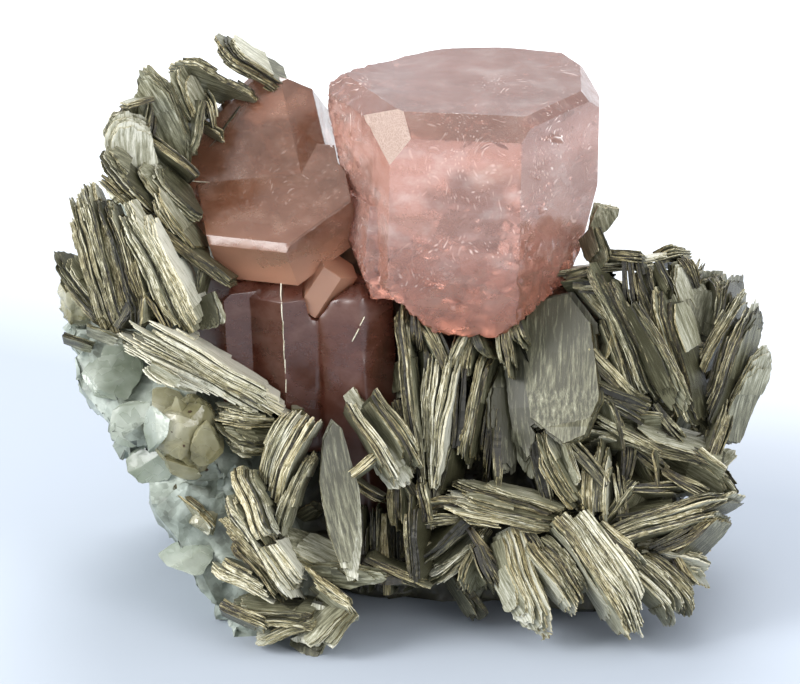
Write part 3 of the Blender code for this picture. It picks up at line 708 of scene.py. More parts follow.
# %% How the books look
# A book that isn't named here has the common look.
OLIVE_BOOKS = (
    "mica_right_first", "mica_right_second", "mica_right_broad", "mica_right_behind", "mica_fan_right_inner",
    "mica_fan_right_middle", "mica_fan_right_outer",
)
BOOK_LOOKS = {
    **dict.fromkeys(OLIVE_BOOKS, {"tone": 0.36, "gold": 0.35}),
    "mica_shield": {
        "fray": 0.03, "round": 0.0, "point": 0, "swing": 0, "fan": 0.2, "bend": 2.0, "tone": 0.17,
        "gold": 0.3, "sheet": 0.6, "bundle": 9, "spread": 0.05, "dark": 0,
    },
    "mica_lance": {"fray": 0.05, "point": 0.1, "wander": 0.15, "tone": 0.55, "gold": 0.0, "dark": 0},
    "mica_pale_plate": {"fray": 0.08, "point": 0, "tone": 0.66, "gold": 0.1},
    "mica_crest": {"tone": 0.4, "gold": 0.4},
    "mica_crest_thin": {"tone": 0.4, "gold": 0.45},
    "mica_hook": {"tone": 0.4, "gold": 0.4},
    "mica_tall_left": {"tone": 0.36, "gold": 0.25},
    "mica_fan_inner": {"tone": 0.38, "gold": 0.2},
    "mica_fan_middle": {"tone": 0.38, "gold": 0.2},
    "mica_fan_outer": {"tone": 0.46, "gold": 0.25},
    "mica_pale_streaked": {"tone": 0.8, "gold": 0.05, "dark": 0.1},
    "mica_broad_left": {
        "fray": 0.08, "round": 0.2, "point": 0, "fan": 1.0, "tone": 1.14, "gold": 0.0, "dark": 0.1,
    },
    "mica_big_white": {"fray": 0.12, "tone": 0.8, "gold": 0.0, "point": 0.1, "dark": 0.1},
    "mica_front_book": {"tone": 0.75},
    "mica_low_flap": {"tone": 0.62, "gold": 0.1},
    "mica_low_shelf_upper": {"tone": 0.44},
    "mica_low_shelf_middle": {"tone": 0.4},
    "mica_long_dark": {"tone": 0.25},
    "mica_long": {"tone": 0.5, "gold": 0.35},
    "mica_brown_stack": {"tone": 0.4, "gold": 0.5},
    "mica_left_main": {"tone": 0.94, "gold": 0.3},
    "mica_uprights": {"tone": 0.68, "gold": 0.4},
    "mica_twin": {"tone": 0.66, "gold": 0.3},
    "mica_left_long": {"tone": 0.76, "gold": 0.3},
    "mica_foot_books": {"tone": 0.45, "gold": 0.6},
    "mica_slim_tan": {"tone": 0.48, "gold": 0.5},
    "mica_dark_blade": {"tone": 0.3, "gold": 0.1},
    "mica_round_blade": {"tone": 0.35, "gold": 0.2},
}

# Both stacks of the solids that hold two: free end and rooted end in pixels, their depths, thickness and
# width in mm, turn in degrees
TWO_STACKS = {
    "mica_crest": (
        ((211, 35), (282, 80), (10, 15), 2.2, 7, 15),
        ((204, 53), (268, 88), (10, 14), 1.6, 6, 15),
    ),
    "mica_diagonal": (
        ((146, 184), (208, 264), (3, 4), 2.6, 6, 20),
        ((155, 170), (206, 218), (5, 6), 1.6, 6, 20),
    ),
    "mica_fan_outer": (
        ((70, 186), (120, 348), (4, 5), 2.8, 7, 10),
        ((57, 252), (114, 322), (6, 5), 2.6, 6, 30),
    ),
    "mica_uprights": (
        ((297, 406), (266, 482), (-1, 1), 2.4, 6, 10),
        ((315, 408), (275, 500), (-2, 0), 2.5, 6, 10),
    ),
    "mica_low_shelf_middle": (
        ((230, 604), (322, 614), (2, 0), 2.2, 8, 20),
        ((252, 636), (314, 614), (1, 0), 1.6, 7, 25),
    ),
    "mica_slim_middle": (
        ((438, 334), (433, 492), (4, 2), 2.4, 6, 10),
        ((459, 334), (436, 494), (3, 1), 1.5, 5, 15),
    ),
    "mica_right_behind": (
        ((674, 260), (705, 340), (8, 8), 2.2, 5.0, 50),
        ((712, 286), (700, 340), (9, 8), 2.0, 5.6, 70),
    ),
    "mica_right_side": (
        ((618, 425), (724, 458), (2, 4), 1.8, 6, 25),
        ((736, 494), (652, 440), (3, 5), 2.2, 5, 30),
    ),
    "mica_long": (
        ((442, 480), (602, 524), (2, 2), 2.8, 7, 15),
        ((440, 500), (556, 520), (0, 1), 3.0, 7, 20),
    ),
    "mica_low_fan": (
        ((682, 622), (618, 556), (2, 2), 3.2, 7, 15),
        ((696, 614), (640, 556), (3, 3), 2.6, 6, 15),
    ),
    "mica_foot_books": (
        ((538, 434), (588, 508), (2, 2), 2.4, 5, 30),
        ((600, 440), (600, 530), (2, 2), 3.2, 5, 15),
    ),
}

# %% Splitting every book
STACK_MARGIN = 0.3  # mm that a stack's box is longer than its line at each end


def cut_outline(solid, level):
    """The outline of the solid's cut at one level of the book's frame, as a face at z = 0."""
    outline = solid.copy()
    cut(outline, (0, 0, level), (0, 0, 1), clear_inner=True, clear_outer=True)
    bmesh.ops.edgenet_fill(outline, edges=outline.edges)
    bmesh.ops.translate(outline, verts=outline.verts, vec=(0, 0, -level))
    return outline


def trim(outline, span, half_wide):
    """Keeps what lies within one stack's box."""
    cut(outline, (span[0], 0, 0), (-1, 0, 0), clear_outer=True)
    cut(outline, (span[0] + span[1], 0, 0), (1, 0, 0), clear_outer=True)
    for side in (-1, 1):
        cut(outline, (0, side * half_wide, 0), (0, side, 0), clear_outer=True)


def split_stack(book, name, rng, look, stack=None):
    """Cuts one stack of a book's solid into sheets. Returns where it starts and ends."""
    solid = merged_copy(name)
    if stack:
        head, foot, depths, thick, wide, turn = stack
        tip, root = at(*head, depths[0]), at(*foot, depths[1])
        axes = axes_between(root, tip, turn)
    else:
        axes = book_axes(solid)
    solid.transform(axes.inverted())
    low, high = extent(solid, Vector((0, 0, 1)))
    start, end = extent(solid, Vector((1, 0, 0)))
    span = (start, end - start)
    if stack:
        low, high = max(low, -thick / 2), min(high, thick / 2)
        span = (-STACK_MARGIN, (tip - root).length + 2 * STACK_MARGIN)
    for step in plan_pile(low, high, rng, look):
        outline = cut_outline(solid, step[0] + step[1] / 2)
        if stack:
            trim(outline, span, wide / 2 + 0.2)
        if outline.faces:
            add_sheet(book, outline, axes, span, low, high, step, rng, look)
        else:
            outline.free()
    solid.free()
    return axes @ Vector((span[0], 0, 0)), axes @ Vector((span[0] + span[1], 0, 0))


def finish_piece(name, bm, material, slot, *nodes):
    """Makes an object of a bmesh in metres, hangs it under the root body, and hides the solids that it replaces.
    """
    for v in bm.verts:
        v.co.z = max(v.co.z, 0.0)
    mesh = bpy.data.meshes.new(name)
    bm.to_mesh(mesh)
    bm.free()
    mesh.materials.append(material)
    obj = bpy.data.objects.new(name, mesh)
    bpy.context.scene.collection.objects.link(obj)
    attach(obj, "root")
    if nodes:
        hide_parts(*nodes)
    return obj


def soften(piece, angle):
    """Smooth shading, but sharp where faces meet at more than the angle in degrees."""
    for face in piece.data.polygons:
        face.use_smooth = True
    piece.data.set_sharp_from_angle(angle=math.radians(angle))


def triangle_count(obj):
    return sum(len(p.vertices) - 2 for p in obj.data.polygons)


book_names = sorted(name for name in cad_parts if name.startswith("mica"))
book_lines = []  # where each book lies: its rooted end and its free end, in millimetres
triangles = 0
for index, name in enumerate(book_names):
    rng = random.Random(index * 31 + 5)
    book = new_book()
    look = {**COMMON_LOOK, "seed": index * 7.7, **BOOK_LOOKS.get(name, {})}
    look.setdefault("bend", rng.gauss(0, look["curl"]))
    for stack in TWO_STACKS.get(name, (None,)):
        book_lines.append(split_stack(book, name, rng, look, stack))
    triangles += triangle_count(finish_piece(name + "_sheets", book, muscovite, "muscovite", name))
print("books:", len(book_names), "triangles:", triangles)

# %% [markdown]
# ## What can be seen from where
#
# Between the books the real specimen is full of smaller blades that stand in the shade. They are
# placed by looking: a ray through each pixel of a coarse grid tells whether the solids leave bare
# rock in sight there, and how deep it lies.

# %% Looking at the solids
LOOK_FROM = -60.0  # mm before the picture plane
NEIGHBOURHOOD = 24  # px around a pixel, where the depth of its neighbours is read
USUAL_DEPTH = 6.0  # mm, where nothing lies near


def solids_tree(names):
    """One search tree of several solids, in millimetres."""
    whole = bmesh.new()
    for name in names:
        whole.from_mesh(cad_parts[name].data)
    bmesh.ops.scale(whole, vec=(1 / MM, 1 / MM, 1 / MM), verts=whole.verts)
    tree = BVHTree.FromBMesh(whole)
    whole.free()
    return tree


rock_tree = solids_tree(["matrix"])
other_tree = solids_tree([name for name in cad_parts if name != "matrix"])


def first_hit(tree, column, row):
    """The point and the normal of the first surface at a pixel. Both are None where there is none."""
    return tree.ray_cast(at(column, row, LOOK_FROM), -TOWARDS)[:2]


def depth_at(tree, column, row):
    """How deep the first surface lies at a pixel, or None."""
    hit = first_hit(tree, column, row)[0]
    return None if hit is None else pixel_of(hit)[2]


def front_depth(column, row):
    """The least depth of the books and crystals around a pixel, or None."""
    found = []
    for turn in range(0, 360, 45):
        angle = math.radians(turn)
        x, y = column + NEIGHBOURHOOD * math.cos(angle), row + NEIGHBOURHOOD * math.sin(angle)
        found.append(depth_at(other_tree, x, y))
    return min((depth for depth in found if depth is not None), default=None)


def surface_depth(column, row):
    """The depth of the first surface at a pixel, or about that of its neighbours."""
    found = [depth_at(tree, column, row) for tree in (rock_tree, other_tree)]
    if any(found):
        return min(depth for depth in found if depth)
    near = front_depth(column, row)
    return USUAL_DEPTH if near is None else near + 3.0


print("depth of the rock in the middle:", depth_at(rock_tree, 450, 440))

# %% [markdown]
# ## Small blades between the books
#
# Each bare spot gets a small blade, painted dark as painted shade of the deep gaps, that lies like the
# nearest book, give or take some degrees.
# Its plates reach from the rock to just behind the books around it.

# %% A small loose book
# The tone of 0.3 is painted shade of the deep gaps that the blades fill; other books set their own.
BLADE_LOOK = {**COMMON_LOOK, "tone": 0.3, "gold": 0.25, "sheet": 0.34, "seed": 3.3, "bend": 0.0}


def add_blade(book, root, tip, thick, wide, turn, rng, look):
    """A small book from root to tip, whose sheets start as plain strips."""
    axes = axes_between(root, tip, turn)
    length = (tip - root).length
    span = (0.0, length)
    for step in plan_pile(-thick / 2, thick / 2, rng, look):
        strip = bmesh.new()
        bmesh.ops.create_grid(strip, x_segments=1, y_segments=1, size=0.5)
        bmesh.ops.scale(strip, vec=(length, wide, 1), verts=strip.verts)
        bmesh.ops.translate(strip, vec=(length / 2, 0, 0), verts=strip.verts)
        add_sheet(book, strip, axes, span, -thick / 2, thick / 2, step, rng, look)


def distance_to_line(column, row, line):
    """How far a pixel is from a book's line in the picture."""
    a, b = (Vector(pixel_of(end)[:2]) for end in line)
    point = Vector((column, row))
    share = clamp((point - a).dot(b - a) / (b - a).length_squared)
    return (a + (b - a) * share - point).length


def lying_like(column, row):
    """The direction of the nearest book in the picture, as an angle."""
    nearest = min(book_lines, key=lambda line: distance_to_line(column, row, line))
    a, b = (Vector(pixel_of(end)[:2]) for end in nearest)
    return math.atan2(-(b.y - a.y), b.x - a.x)


# %% Filling the gaps in front
# The corners, in pixels, of the parts of the picture that mica fills in front and at the left
MICA_AREA = (
    (398, 300), (450, 330), (560, 300), (600, 258), (682, 252), (752, 290), (748, 420), (722, 452),
    (738, 500), (700, 590), (640, 575), (560, 600), (436, 592), (356, 590), (352, 520), (392, 510), (396, 480),
)
LEFT_AREA = (
    (136, 100), (168, 78), (200, 86), (228, 98), (205, 130), (190, 172), (208, 214), (232, 262), (212, 292),
    (205, 322), (130, 328), (96, 322), (80, 250), (84, 190), (112, 150),
)
GRID_STEP = 9  # px
LEAST_APART = 9  # px between two blades
BLADE_LENGTHS = (6.0, 11.0)  # mm
LEAST_LENGTH = 2.5  # mm, what is left of a shorter one isn't placed
LEAST_WIDTH = 2.5  # mm
DEPTH_REACH = 9.0  # mm from the books in front to a blade's back, where no rock is nearer
BEHIND = 1.0  # mm between the books in front and a blade's front


def inside(column, row, corners):
    """Whether a pixel lies inside a polygon."""
    crossings = 0
    for (x0, y0), (x1, y1) in zip(corners, corners[1:] + corners[:1]):
        if (y0 > row) != (y1 > row) and column < x0 + (row - y0) * (x1 - x0) / (y1 - y0):
            crossings += 1
    return crossings % 2 == 1


def gap_at(x, y):
    """How deep the room begins and ends where bare rock or nothing shows at a pixel, else None."""
    rock, book_depth = depth_at(rock_tree, x, y), depth_at(other_tree, x, y)
    if book_depth is not None and (rock is None or book_depth < rock):
        return None
    front = front_depth(x, y)
    front = USUAL_DEPTH if front is None else front
    return front, front + DEPTH_REACH if rock is None else min(rock, front + DEPTH_REACH)


def kept_share(x, y, step, share, corners):
    """A share of the step from a pixel, made less until its end lies inside the corners."""
    while share > 0.05 and not inside(x + step.x * share, y + step.y * share, corners):
        share -= 0.1
    return share


def fill_gaps(corners, seed):
    """Blades on every bare spot inside the corners."""
    rng = random.Random(seed)
    book = new_book()
    placed = []
    columns, rows = (range(min(c[k] for c in corners), max(c[k] for c in corners), GRID_STEP) for k in (0, 1))
    for row, column in itertools.product(rows, columns):
        x, y = column + rng.uniform(-3, 3), row + rng.uniform(-3, 3)
        if not inside(x, y, corners) or any(distance_to_line(x, y, line) < LEAST_APART for line in placed):
            continue
        gap = gap_at(x, y)
        if gap is None:
            continue
        front, back = gap
        wide = max(LEAST_WIDTH, back - front - BEHIND)
        depth = front + BEHIND + wide / 2
        angle = lying_like(x, y) + math.radians(rng.gauss(0, 14))
        length = rng.uniform(*BLADE_LENGTHS) * PIXELS_PER_MM
        step = Vector((math.cos(angle), -math.sin(angle))) * length
        share = rng.uniform(0.35, 0.65)
        before = kept_share(x, y, -step, share, corners)
        after = kept_share(x, y, step, 1 - share, corners)
        if (before + after) * length < LEAST_LENGTH * PIXELS_PER_MM:
            continue
        root = at(x - step.x * before, y - step.y * before, depth + 1.0)
        tip = at(x + step.x * after, y + step.y * after, depth)
        add_blade(book, root, tip, rng.uniform(1.0, 2.0), wide, rng.gauss(0, 15), rng, BLADE_LOOK)
        placed.append((root, tip))
    print("blades:", len(placed))
    return book


# %% [markdown]
# ## Small books of their own
#
# Some small books show clearly between the large ones, or lie in front of them. Each is given by its
# rooted and its free end in pixels. Its depth comes from the solids: it starts a little inside what
# lies there and stands out from it at its free end.

# %% Small books of their own
# rooted end, free end, how far it stands out, thickness, width (mm), turn (degrees), tone, gold
SMALL_BOOKS = (
    ((266, 398), (133, 320), 1.2, 2.6, 5.0, 8, 0.82, 0.05),
    ((148, 99), (117, 107), 1.0, 0.8, 4.5, 10, 0.3, 0.2),
    ((205, 128), (228, 140), 1.0, 0.8, 4.0, 20, 0.35, 0.3),
    ((238, 100), (204, 146), -2.0, 1.4, 5.0, 30, 0.3, 0.3),
    ((196, 96), (186, 150), -1.0, 1.4, 5.0, 30, 0.3, 0.3),
    ((352, 476), (386, 450), 1.8, 1.2, 4.5, 10, 0.55, 0.8),
    ((356, 480), (388, 503), 1.6, 1.0, 4.0, -10, 0.5, 0.8),
    ((368, 398), (418, 470), 1.2, 2.0, 6.0, 20, 0.42, 0.4),
    ((350, 408), (400, 488), 1.6, 1.6, 5.5, 10, 0.45, 0.4),
    # The next four are painted very dark: painted shade of the deep column between the left and the right books.
    ((366, 592), (362, 508), 1.0, 2.0, 6.0, 15, 0.12, 0.2),
    ((385, 592), (382, 505), 1.2, 2.2, 6.0, 10, 0.18, 0.3),
    ((404, 590), (402, 500), 1.2, 2.0, 6.0, 15, 0.22, 0.3),
    ((420, 582), (417, 496), 1.0, 1.6, 6.0, 20, 0.12, 0.2),
    ((428, 520), (421, 480), 1.0, 1.5, 4.0, 10, 0.4, 0.3),
    ((452, 575), (481, 622), 0.5, 1.4, 5.0, 20, 0.25, 0.3),
    ((600, 318), (634, 416), 0.6, 1.8, 5.5, 20, 0.3, 0.2),
    ((626, 305), (682, 408), 0.6, 1.6, 5.0, 30, 0.35, 0.3),
    ((655, 262), (668, 292), 0.8, 1.0, 4.0, 20, 0.3, 0.3),
    ((590, 232), (600, 264), 0.5, 1.4, 5.0, 30, 0.3, 0.3),
    ((612, 419), (662, 421), 1.2, 0.5, 4.0, 30, 0.5, 0.1),
    ((637, 530), (639, 458), 1.0, 1.0, 3.5, 60, 0.25, 0.0),
    ((658, 482), (654, 448), 1.6, 0.6, 3.0, 10, 0.4, 1.0),
    ((676, 522), (655, 478), 1.2, 1.0, 4.0, 10, 0.5, 0.9),
    ((688, 522), (664, 474), 0.8, 0.8, 4.0, 10, 0.4, 0.8),
    ((700, 455), (729, 479), 0.8, 0.9, 3.5, 30, 0.9, 0.0),
    ((562, 438), (574, 482), 1.0, 1.0, 4.0, 20, 0.35, 0.3),
    ((340, 604), (303, 640), 0.8, 1.0, 5.0, 40, 0.75, 0.0),
    ((345, 612), (318, 648), 0.6, 0.8, 5.0, 40, 0.7, 0.0),
    ((525, 548), (576, 616), 0.8, 1.4, 5.0, 20, 0.5, 0.3),
    ((668, 570), (702, 576), 0.8, 0.8, 4.0, 20, 0.5, 0.3),
    ((298, 521), (320, 508), 1.0, 0.6, 3.0, 50, 0.35, 1.0),
    ((342, 566), (284, 536), 1.2, 1.2, 6.0, 40, 0.6, 0.2),
    ((197, 302), (210, 258), 0.8, 1.0, 4.0, 20, 0.2, 0.2),
    ((200, 298), (213, 332), 0.8, 0.8, 4.5, 60, 0.35, 0.2),
    ((62, 338), (96, 350), 0.6, 0.7, 2.5, 30, 0.3, 0.0),
    ((84, 328), (120, 340), 0.6, 0.7, 2.5, 40, 0.35, 0.0),
    ((148, 364), (180, 382), 0.5, 0.4, 2.5, 40, 0.9, 0.0),
    ((168, 380), (198, 396), 0.5, 0.4, 2.5, 40, 0.85, 0.1),
    ((176, 494), (206, 520), 0.6, 1.2, 3.0, 30, 0.7, 0.9),
    ((196, 512), (214, 532), 0.6, 1.0, 3.0, 30, 0.65, 0.8),
    ((222, 606), (268, 630), 0.6, 1.6, 3.5, 15, 0.45, 0.3),
)
LINES_IN_CRYSTALS = (  # thin pale sheets just under the crystals' skin, bright lines that are partly painted glints and partly the white of healed cracks: ends, width
    ((281, 283), (287, 398), 0.16),
    ((363, 320), (351, 346), 0.14),
    ((185, 179), (208, 181), 0.14),
    ((400, 128), (404, 150), 0.12),
)
LINE_PIECE = 19  # px, about how long the straight pieces of such a line are
LINE_LOOK = {
    **BLADE_LOOK, "tone": 1.4, "gold": 0, "fray": 0, "round": 0, "point": 0.5, "curl": 0, "sheet": 0.3,
}


def place_small_books():
    rng = random.Random(21)
    book = new_book()
    for root, tip, out, thick, wide, turn, tone, gold in SMALL_BOOKS:
        look = {**BLADE_LOOK, "tone": tone, "gold": gold, "sheet": 0.26}
        middle = ((root[0] + tip[0]) / 2, (root[1] + tip[1]) / 2)
        depth = min(surface_depth(*middle), surface_depth(*tip)) - out
        add_blade(book, at(*root, depth + 1.2), at(*tip, depth), thick, wide, turn, rng, look)
    for start, end, thick in LINES_IN_CRYSTALS:
        start, end = Vector(start), Vector(end)
        pieces = max(1, round((end - start).length / LINE_PIECE))
        stops = [start.lerp(end, k / pieces) for k in range(pieces + 1)]
        points = [at(*stop, surface_depth(*stop) + 0.15) for stop in stops]
        for one, next_one in zip(points, points[1:]):
            add_blade(book, one, next_one, thick, 0.8, 0, rng, LINE_LOOK)
    print("small books:", len(SMALL_BOOKS))
    return book


finish_piece("mica_small_books", place_small_books(), muscovite, "muscovite")

# %% [markdown]
# ## The other sides
#
# The photo doesn't show the back, the sides and the top of the rock. Mica grew there too, so groups of
# small books lie against the rock, each where a ray from outside first meets rock.

# %% The other sides
RAY_START = 120  # mm from the heart of the specimen
LEAST_INSET = 1.5  # mm that a book's ends stay inside the box of the solids


def scatter_on_rock(groups, seed):
    """Groups of small books against the rock, from the right side over the back to the left side."""
    rng = random.Random(seed)
    book = new_book()
    low, high = (Vector(corner) / MM for corner in cad_box)
    low, high = [c + LEAST_INSET for c in low], [c - LEAST_INSET for c in high]
    placed = 0
    while groups > 0:
        turn = math.radians(rng.uniform(-30, 188))
        outward = Vector((math.cos(turn), math.sin(turn), rng.uniform(-0.35, 0.9))).normalized()
        start = HEART + outward * RAY_START
        hit, normal, _, distance = rock_tree.ray_cast(start, -outward)
        blocked = other_tree.ray_cast(start, -outward, distance + 1.0)[0] if hit else None
        if hit is None or blocked is not None:
            continue
        groups -= 1
        along = normal.orthogonal()
        along.rotate(Matrix.Rotation(rng.uniform(0, 6.3), 3, normal))
        for _ in range(rng.randint(1, 5)):
            lying = along.copy()
            lying.rotate(Matrix.Rotation(rng.gauss(0, 0.5), 3, normal))
            rise = math.radians(rng.uniform(6, 28))
            beside = normal.cross(along) * rng.gauss(0, 2.2) + along * rng.gauss(0, 1.5)
            root = hit + beside - normal * 0.7
            tip = root + (lying * math.cos(rise) + normal * math.sin(rise)) * rng.uniform(4, 9)
            if any(not low[k] <= p[k] <= high[k] for p in (root, tip) for k in range(3)):
                continue
            look = {**BLADE_LOOK, "tone": rng.uniform(0.25, 0.7), "gold": rng.uniform(0, 0.5)}
            thick, wide, turn = rng.uniform(0.6, 1.6), rng.uniform(2.5, 4.5), rng.uniform(0, 180)
            add_blade(book, root, tip, thick, wide, turn, rng, look)
            placed += 1
    print("books on the other sides:", placed)
    return book


finish_piece("mica_other_sides", scatter_on_rock(38, 8), muscovite, "muscovite")

# %% The blades in the gaps
finish_piece("mica_blades_left", fill_gaps(LEFT_AREA, 12), muscovite, "muscovite")
front_blades = finish_piece("mica_blades_front", fill_gaps(MICA_AREA, 11), muscovite, "muscovite")
print("triangles:", triangle_count(front_blades))

# %% [markdown]
# ## The rock
#
# The broken feldspar is a copy of its solid, cut into small squares. Feldspar breaks along flat
# cleavage planes, so every patch of a few millimetres is tilted as a whole: each point is moved by
# its distance from the middle of its patch along a direction that belongs to the patch.

# %% Broken surfaces
ROCK_PATCHES = ((7.0, 0.5), (2.2, 0.22))  # size in mm, and how steep
QUARTZ_PATCHES = ((3.5, 0.3), (1.2, 0.12))
PATCH_SHUFFLE = 7.31  # sends neighbouring patches to places of the noise that are far apart
GRAININESS = 0.06  # mm
STEADY_FOOT = 0.4  # mm, the height over the floor below which the surface is broken less
noise.seed_set(11)  # else the noise vectors differ from run to run


def cut_into_squares(bm, step):
    """Cuts a mesh along parallel planes in the three directions."""
    for axis in range(3):
        low = min(v.co[axis] for v in bm.verts)
        high = max(v.co[axis] for v in bm.verts)
        normal = Vector((0, 0, 0))
        normal[axis] = 1
        for k in range(1, int((high - low) / step)):
            cut(bm, normal * (low + k * step), normal)


def facet_height(point, size):
    """How far a point on a broken surface is moved: every patch of this size has its own slope."""
    centre = noise.voronoi(point / size)[1][0]
    slope = noise.noise_vector(centre * PATCH_SHUFFLE)
    return (point / size - centre).dot(slope) * size


def push(bm, move):
    """Moves each vertex by the vector move(vertex). All are worked out before any moves."""
    bm.normal_update()
    moves = [move(v) for v in bm.verts]
    for v, move in zip(bm.verts, moves):
        v.co += move


def make_rock_piece(name, step, patches, material, slot):
    def move(v):
        height = sum(share * facet_height(v.co, size) for size, share in patches)
        height += GRAININESS * noise.noise(v.co * 1.3)
        return v.normal * height * clamp(v.co.z / STEADY_FOOT - 0.2)

    bm = merged_copy(name)
    cut_into_squares(bm, step)
    push(bm, move)
    bmesh.ops.scale(bm, vec=(MM, MM, MM), verts=bm.verts)
    piece = finish_piece(name + "_broken", bm, material, slot, name)
    soften(piece, 20)
    return piece


rock = make_rock_piece("matrix", 0.9, ROCK_PATCHES, feldspar, "feldspar")
for name in ("quartz_yellow", "quartz_smoky"):
    make_rock_piece(name, 0.6, QUARTZ_PATCHES, quartz, "quartz")
print("rock triangles:", triangle_count(rock))

# %% [markdown]
# ## Splinters of quartz, and rust
#
# Yellowish and greyish quartz fills the angle between the books and the rock, in splinters with flat
# broken faces: a ball whose points are pushed back to a few planes. Brown specks of rusty limonite
# stain it.

# %% Splinters of quartz, and rust
# pixel, radius in mm, how flat, what it is
SPLINTERS = (
    ((170, 404), 3.4, 0.45, "yellow"), ((206, 440), 3.4, 0.5, "yellow"), ((178, 466), 3.2, 0.4, "yellow"),
    ((156, 430), 3.4, 0.25, "smoky"), ((152, 462), 4.2, 0.25, "smoky"), ((132, 420), 3.6, 0.2, "smoky"),
    ((206, 522), 2.2, 0.6, "yellow"), ((194, 506), 1.6, 0.6, "yellow"), ((186, 556), 4.0, 0.2, "smoky"),
    ((108, 374), 4.6, 0.2, "smoky"), ((193, 488), 0.6, 0.8, "rust"), ((197, 491), 0.45, 0.8, "rust"),
    ((188, 485), 0.35, 0.8, "rust"), ((172, 432), 0.25, 0.6, "rust"), ((190, 412), 0.3, 0.6, "rust"),
    ((206, 470), 0.3, 0.6, "rust"), ((184, 446), 0.2, 0.6, "rust"), ((162, 412), 0.2, 0.6, "rust"),
)

BREAKS = 14  # planes that a ball is pushed back to


def make_splinters(kind):
    """The splinters of one kind, each on the quartz lump or else on the rock that is seen at its pixel."""
    rng = random.Random(len(kind))
    whole = bmesh.new()
    for pixel, radius, flat in (row[:3] for row in SPLINTERS if row[3] == kind):
        part = bmesh.new()
        bmesh.ops.create_icosphere(part, subdivisions=4, radius=1.0)
        for _ in range(BREAKS):
            plane = Vector((rng.gauss(0, 1), rng.gauss(0, 1), rng.gauss(0, 1))).normalized()
            reach = rng.uniform(0.5, 0.8)
            for v in part.verts:
                v.co -= plane * max(0.0, v.co.dot(plane) - reach)
        for v in part.verts:
            v.co *= 1 + 0.05 * noise.noise(v.co * 5)
        bmesh.ops.scale(part, vec=(radius, radius, radius * flat), verts=part.verts)
        hit, normal = first_hit(lump_tree, *pixel)
        if hit is None:
            hit, normal = first_hit(rock_tree, *pixel)
        turn = normal.to_track_quat("Z", "Y").to_matrix().to_4x4()
        part.transform(Matrix.Scale(MM, 4) @ Matrix.Translation(hit) @ turn)
        join(whole, part)
    bmesh.ops.recalc_face_normals(whole, faces=whole.faces)
    return whole


lump_tree = solids_tree(["quartz_yellow"])
smoky = make_rock("quartz_smoky_glassy", ("67705f", "8a937f", "a7af9f", "c6cdbf"), 0.25, 1.2, 0.35, 0.04)
rust, rust_tree, rust_shader = new_material("limonite_earthy")
feed(rust_tree, rust_shader, {"Base Color": linear("38210f"), "Roughness": 0.85})
for kind, material, slot in (("yellow", quartz, "quartz"), ("smoky", smoky, "quartz"), ("rust", rust, None)):
    soften(finish_piece("splinters_" + kind, make_splinters(kind), material, slot), 14)
print("splinters:", len(SPLINTERS))

# %% [markdown]
# ## The crystals
#
# Each crystal is a copy of its solid. Its edges get a narrow bevel, because no real edge is sharp and
# the bevel catches the light. Then it is cut into small squares, so that the surface can be uneven:
# hardly at all on the good faces, and strongly where the real crystal is dissolved and pitted.

# %% Crystal skins
EDGE_BEVEL = 0.22  # mm


def bevel_edges(bm, width, least_angle):
    inner_edges = [e for e in bm.edges if len(e.link_faces) == 2]
    edges = [e for e in inner_edges if e.calc_face_angle() > math.radians(least_angle)]
    bmesh.ops.bevel(
        bm, geom=edges, offset=width, affect="EDGES", segments=2, profile=0.5, material=-1, clamp_overlap=True
    )


def dissolve(bm, wear):
    """Moves each point inwards by small pits, as much as wear(point) says, in mm."""

    def move(v):
        pits = abs(noise.noise(v.co * 0.7)) + 0.7 * abs(noise.noise(v.co * 1.7))
        return v.normal * wear(v.co) * (0.35 - pits)

    push(bm, move)


def round_off(bm, worn, times):
    """Rounds the part of the crystal where worn(point) holds."""
    verts = [v for v in bm.verts if worn(v.co)]
    for _ in range(times):
        bmesh.ops.smooth_vert(bm, verts=verts, factor=0.5, use_axis_x=True, use_axis_y=True, use_axis_z=True)


def ramp_between(value, low, high):
    return clamp((value - low) / (high - low))


def swell(value, middle, width):
    return math.exp(-(((value - middle) / width) ** 2))


print("half way up a ramp:", ramp_between(5, 0, 10), "and off a swell:", round(swell(10, 0, 10), 2))

# %% [markdown]
# ## Fractures inside a crystal
#
# Some of the glints inside the crystals are cracks: thin flat gaps filled with air. In glass the light
# bounces off such a gap wherever it meets it at a low angle. So each crack is a very flat lens with a
# ragged rim, its faces are turned into the gap, and it is part of the crystal's mesh. They lean so
# that they send the light from above to the viewer. (The finest glints are the material's flecks.)

# %% Cracks
CRACK_GAP = 0.07  # mm across the gap
LEAST_COVER = 0.45  # mm of crystal over a crack's middle


def add_crack(bm, middle, normal, across, along_size, thick, rng):
    """A flat bent gap in the crystal."""
    crack = bmesh.new()
    bmesh.ops.create_icosphere(crack, subdivisions=3, radius=1.0)
    seed = rng.uniform(0, 900)
    for v in crack.verts:
        angle = math.atan2(v.co.y, v.co.x)
        rim = 1 + 0.8 * wobble(math.cos(angle) * 1.7, math.sin(angle) * 1.7, seed)
        x, y = v.co.x * across * rim, v.co.y * along_size * rim
        sag = 0.25 * across * wobble(v.co.x * 1.4, v.co.y * 1.4, seed)
        v.co = Vector((x, y, v.co.z * thick / 2 + sag))
    bmesh.ops.reverse_faces(crack, faces=crack.faces)
    turn = normal.to_track_quat("Z", "Y").to_matrix().to_4x4()
    crack.transform(Matrix.Translation(middle) @ turn @ Matrix.Rotation(rng.gauss(0, 0.5), 4, "Z"))
    join(bm, crack)


def glinting_normal(rng):
    """A crack's direction that sends the light from above to the viewer."""
    rise = math.radians(rng.gauss(62, 8))
    turn = math.radians(rng.gauss(0, 30))
    return Vector((math.sin(turn) * math.cos(rise), -math.cos(turn) * math.cos(rise), math.sin(rise)))


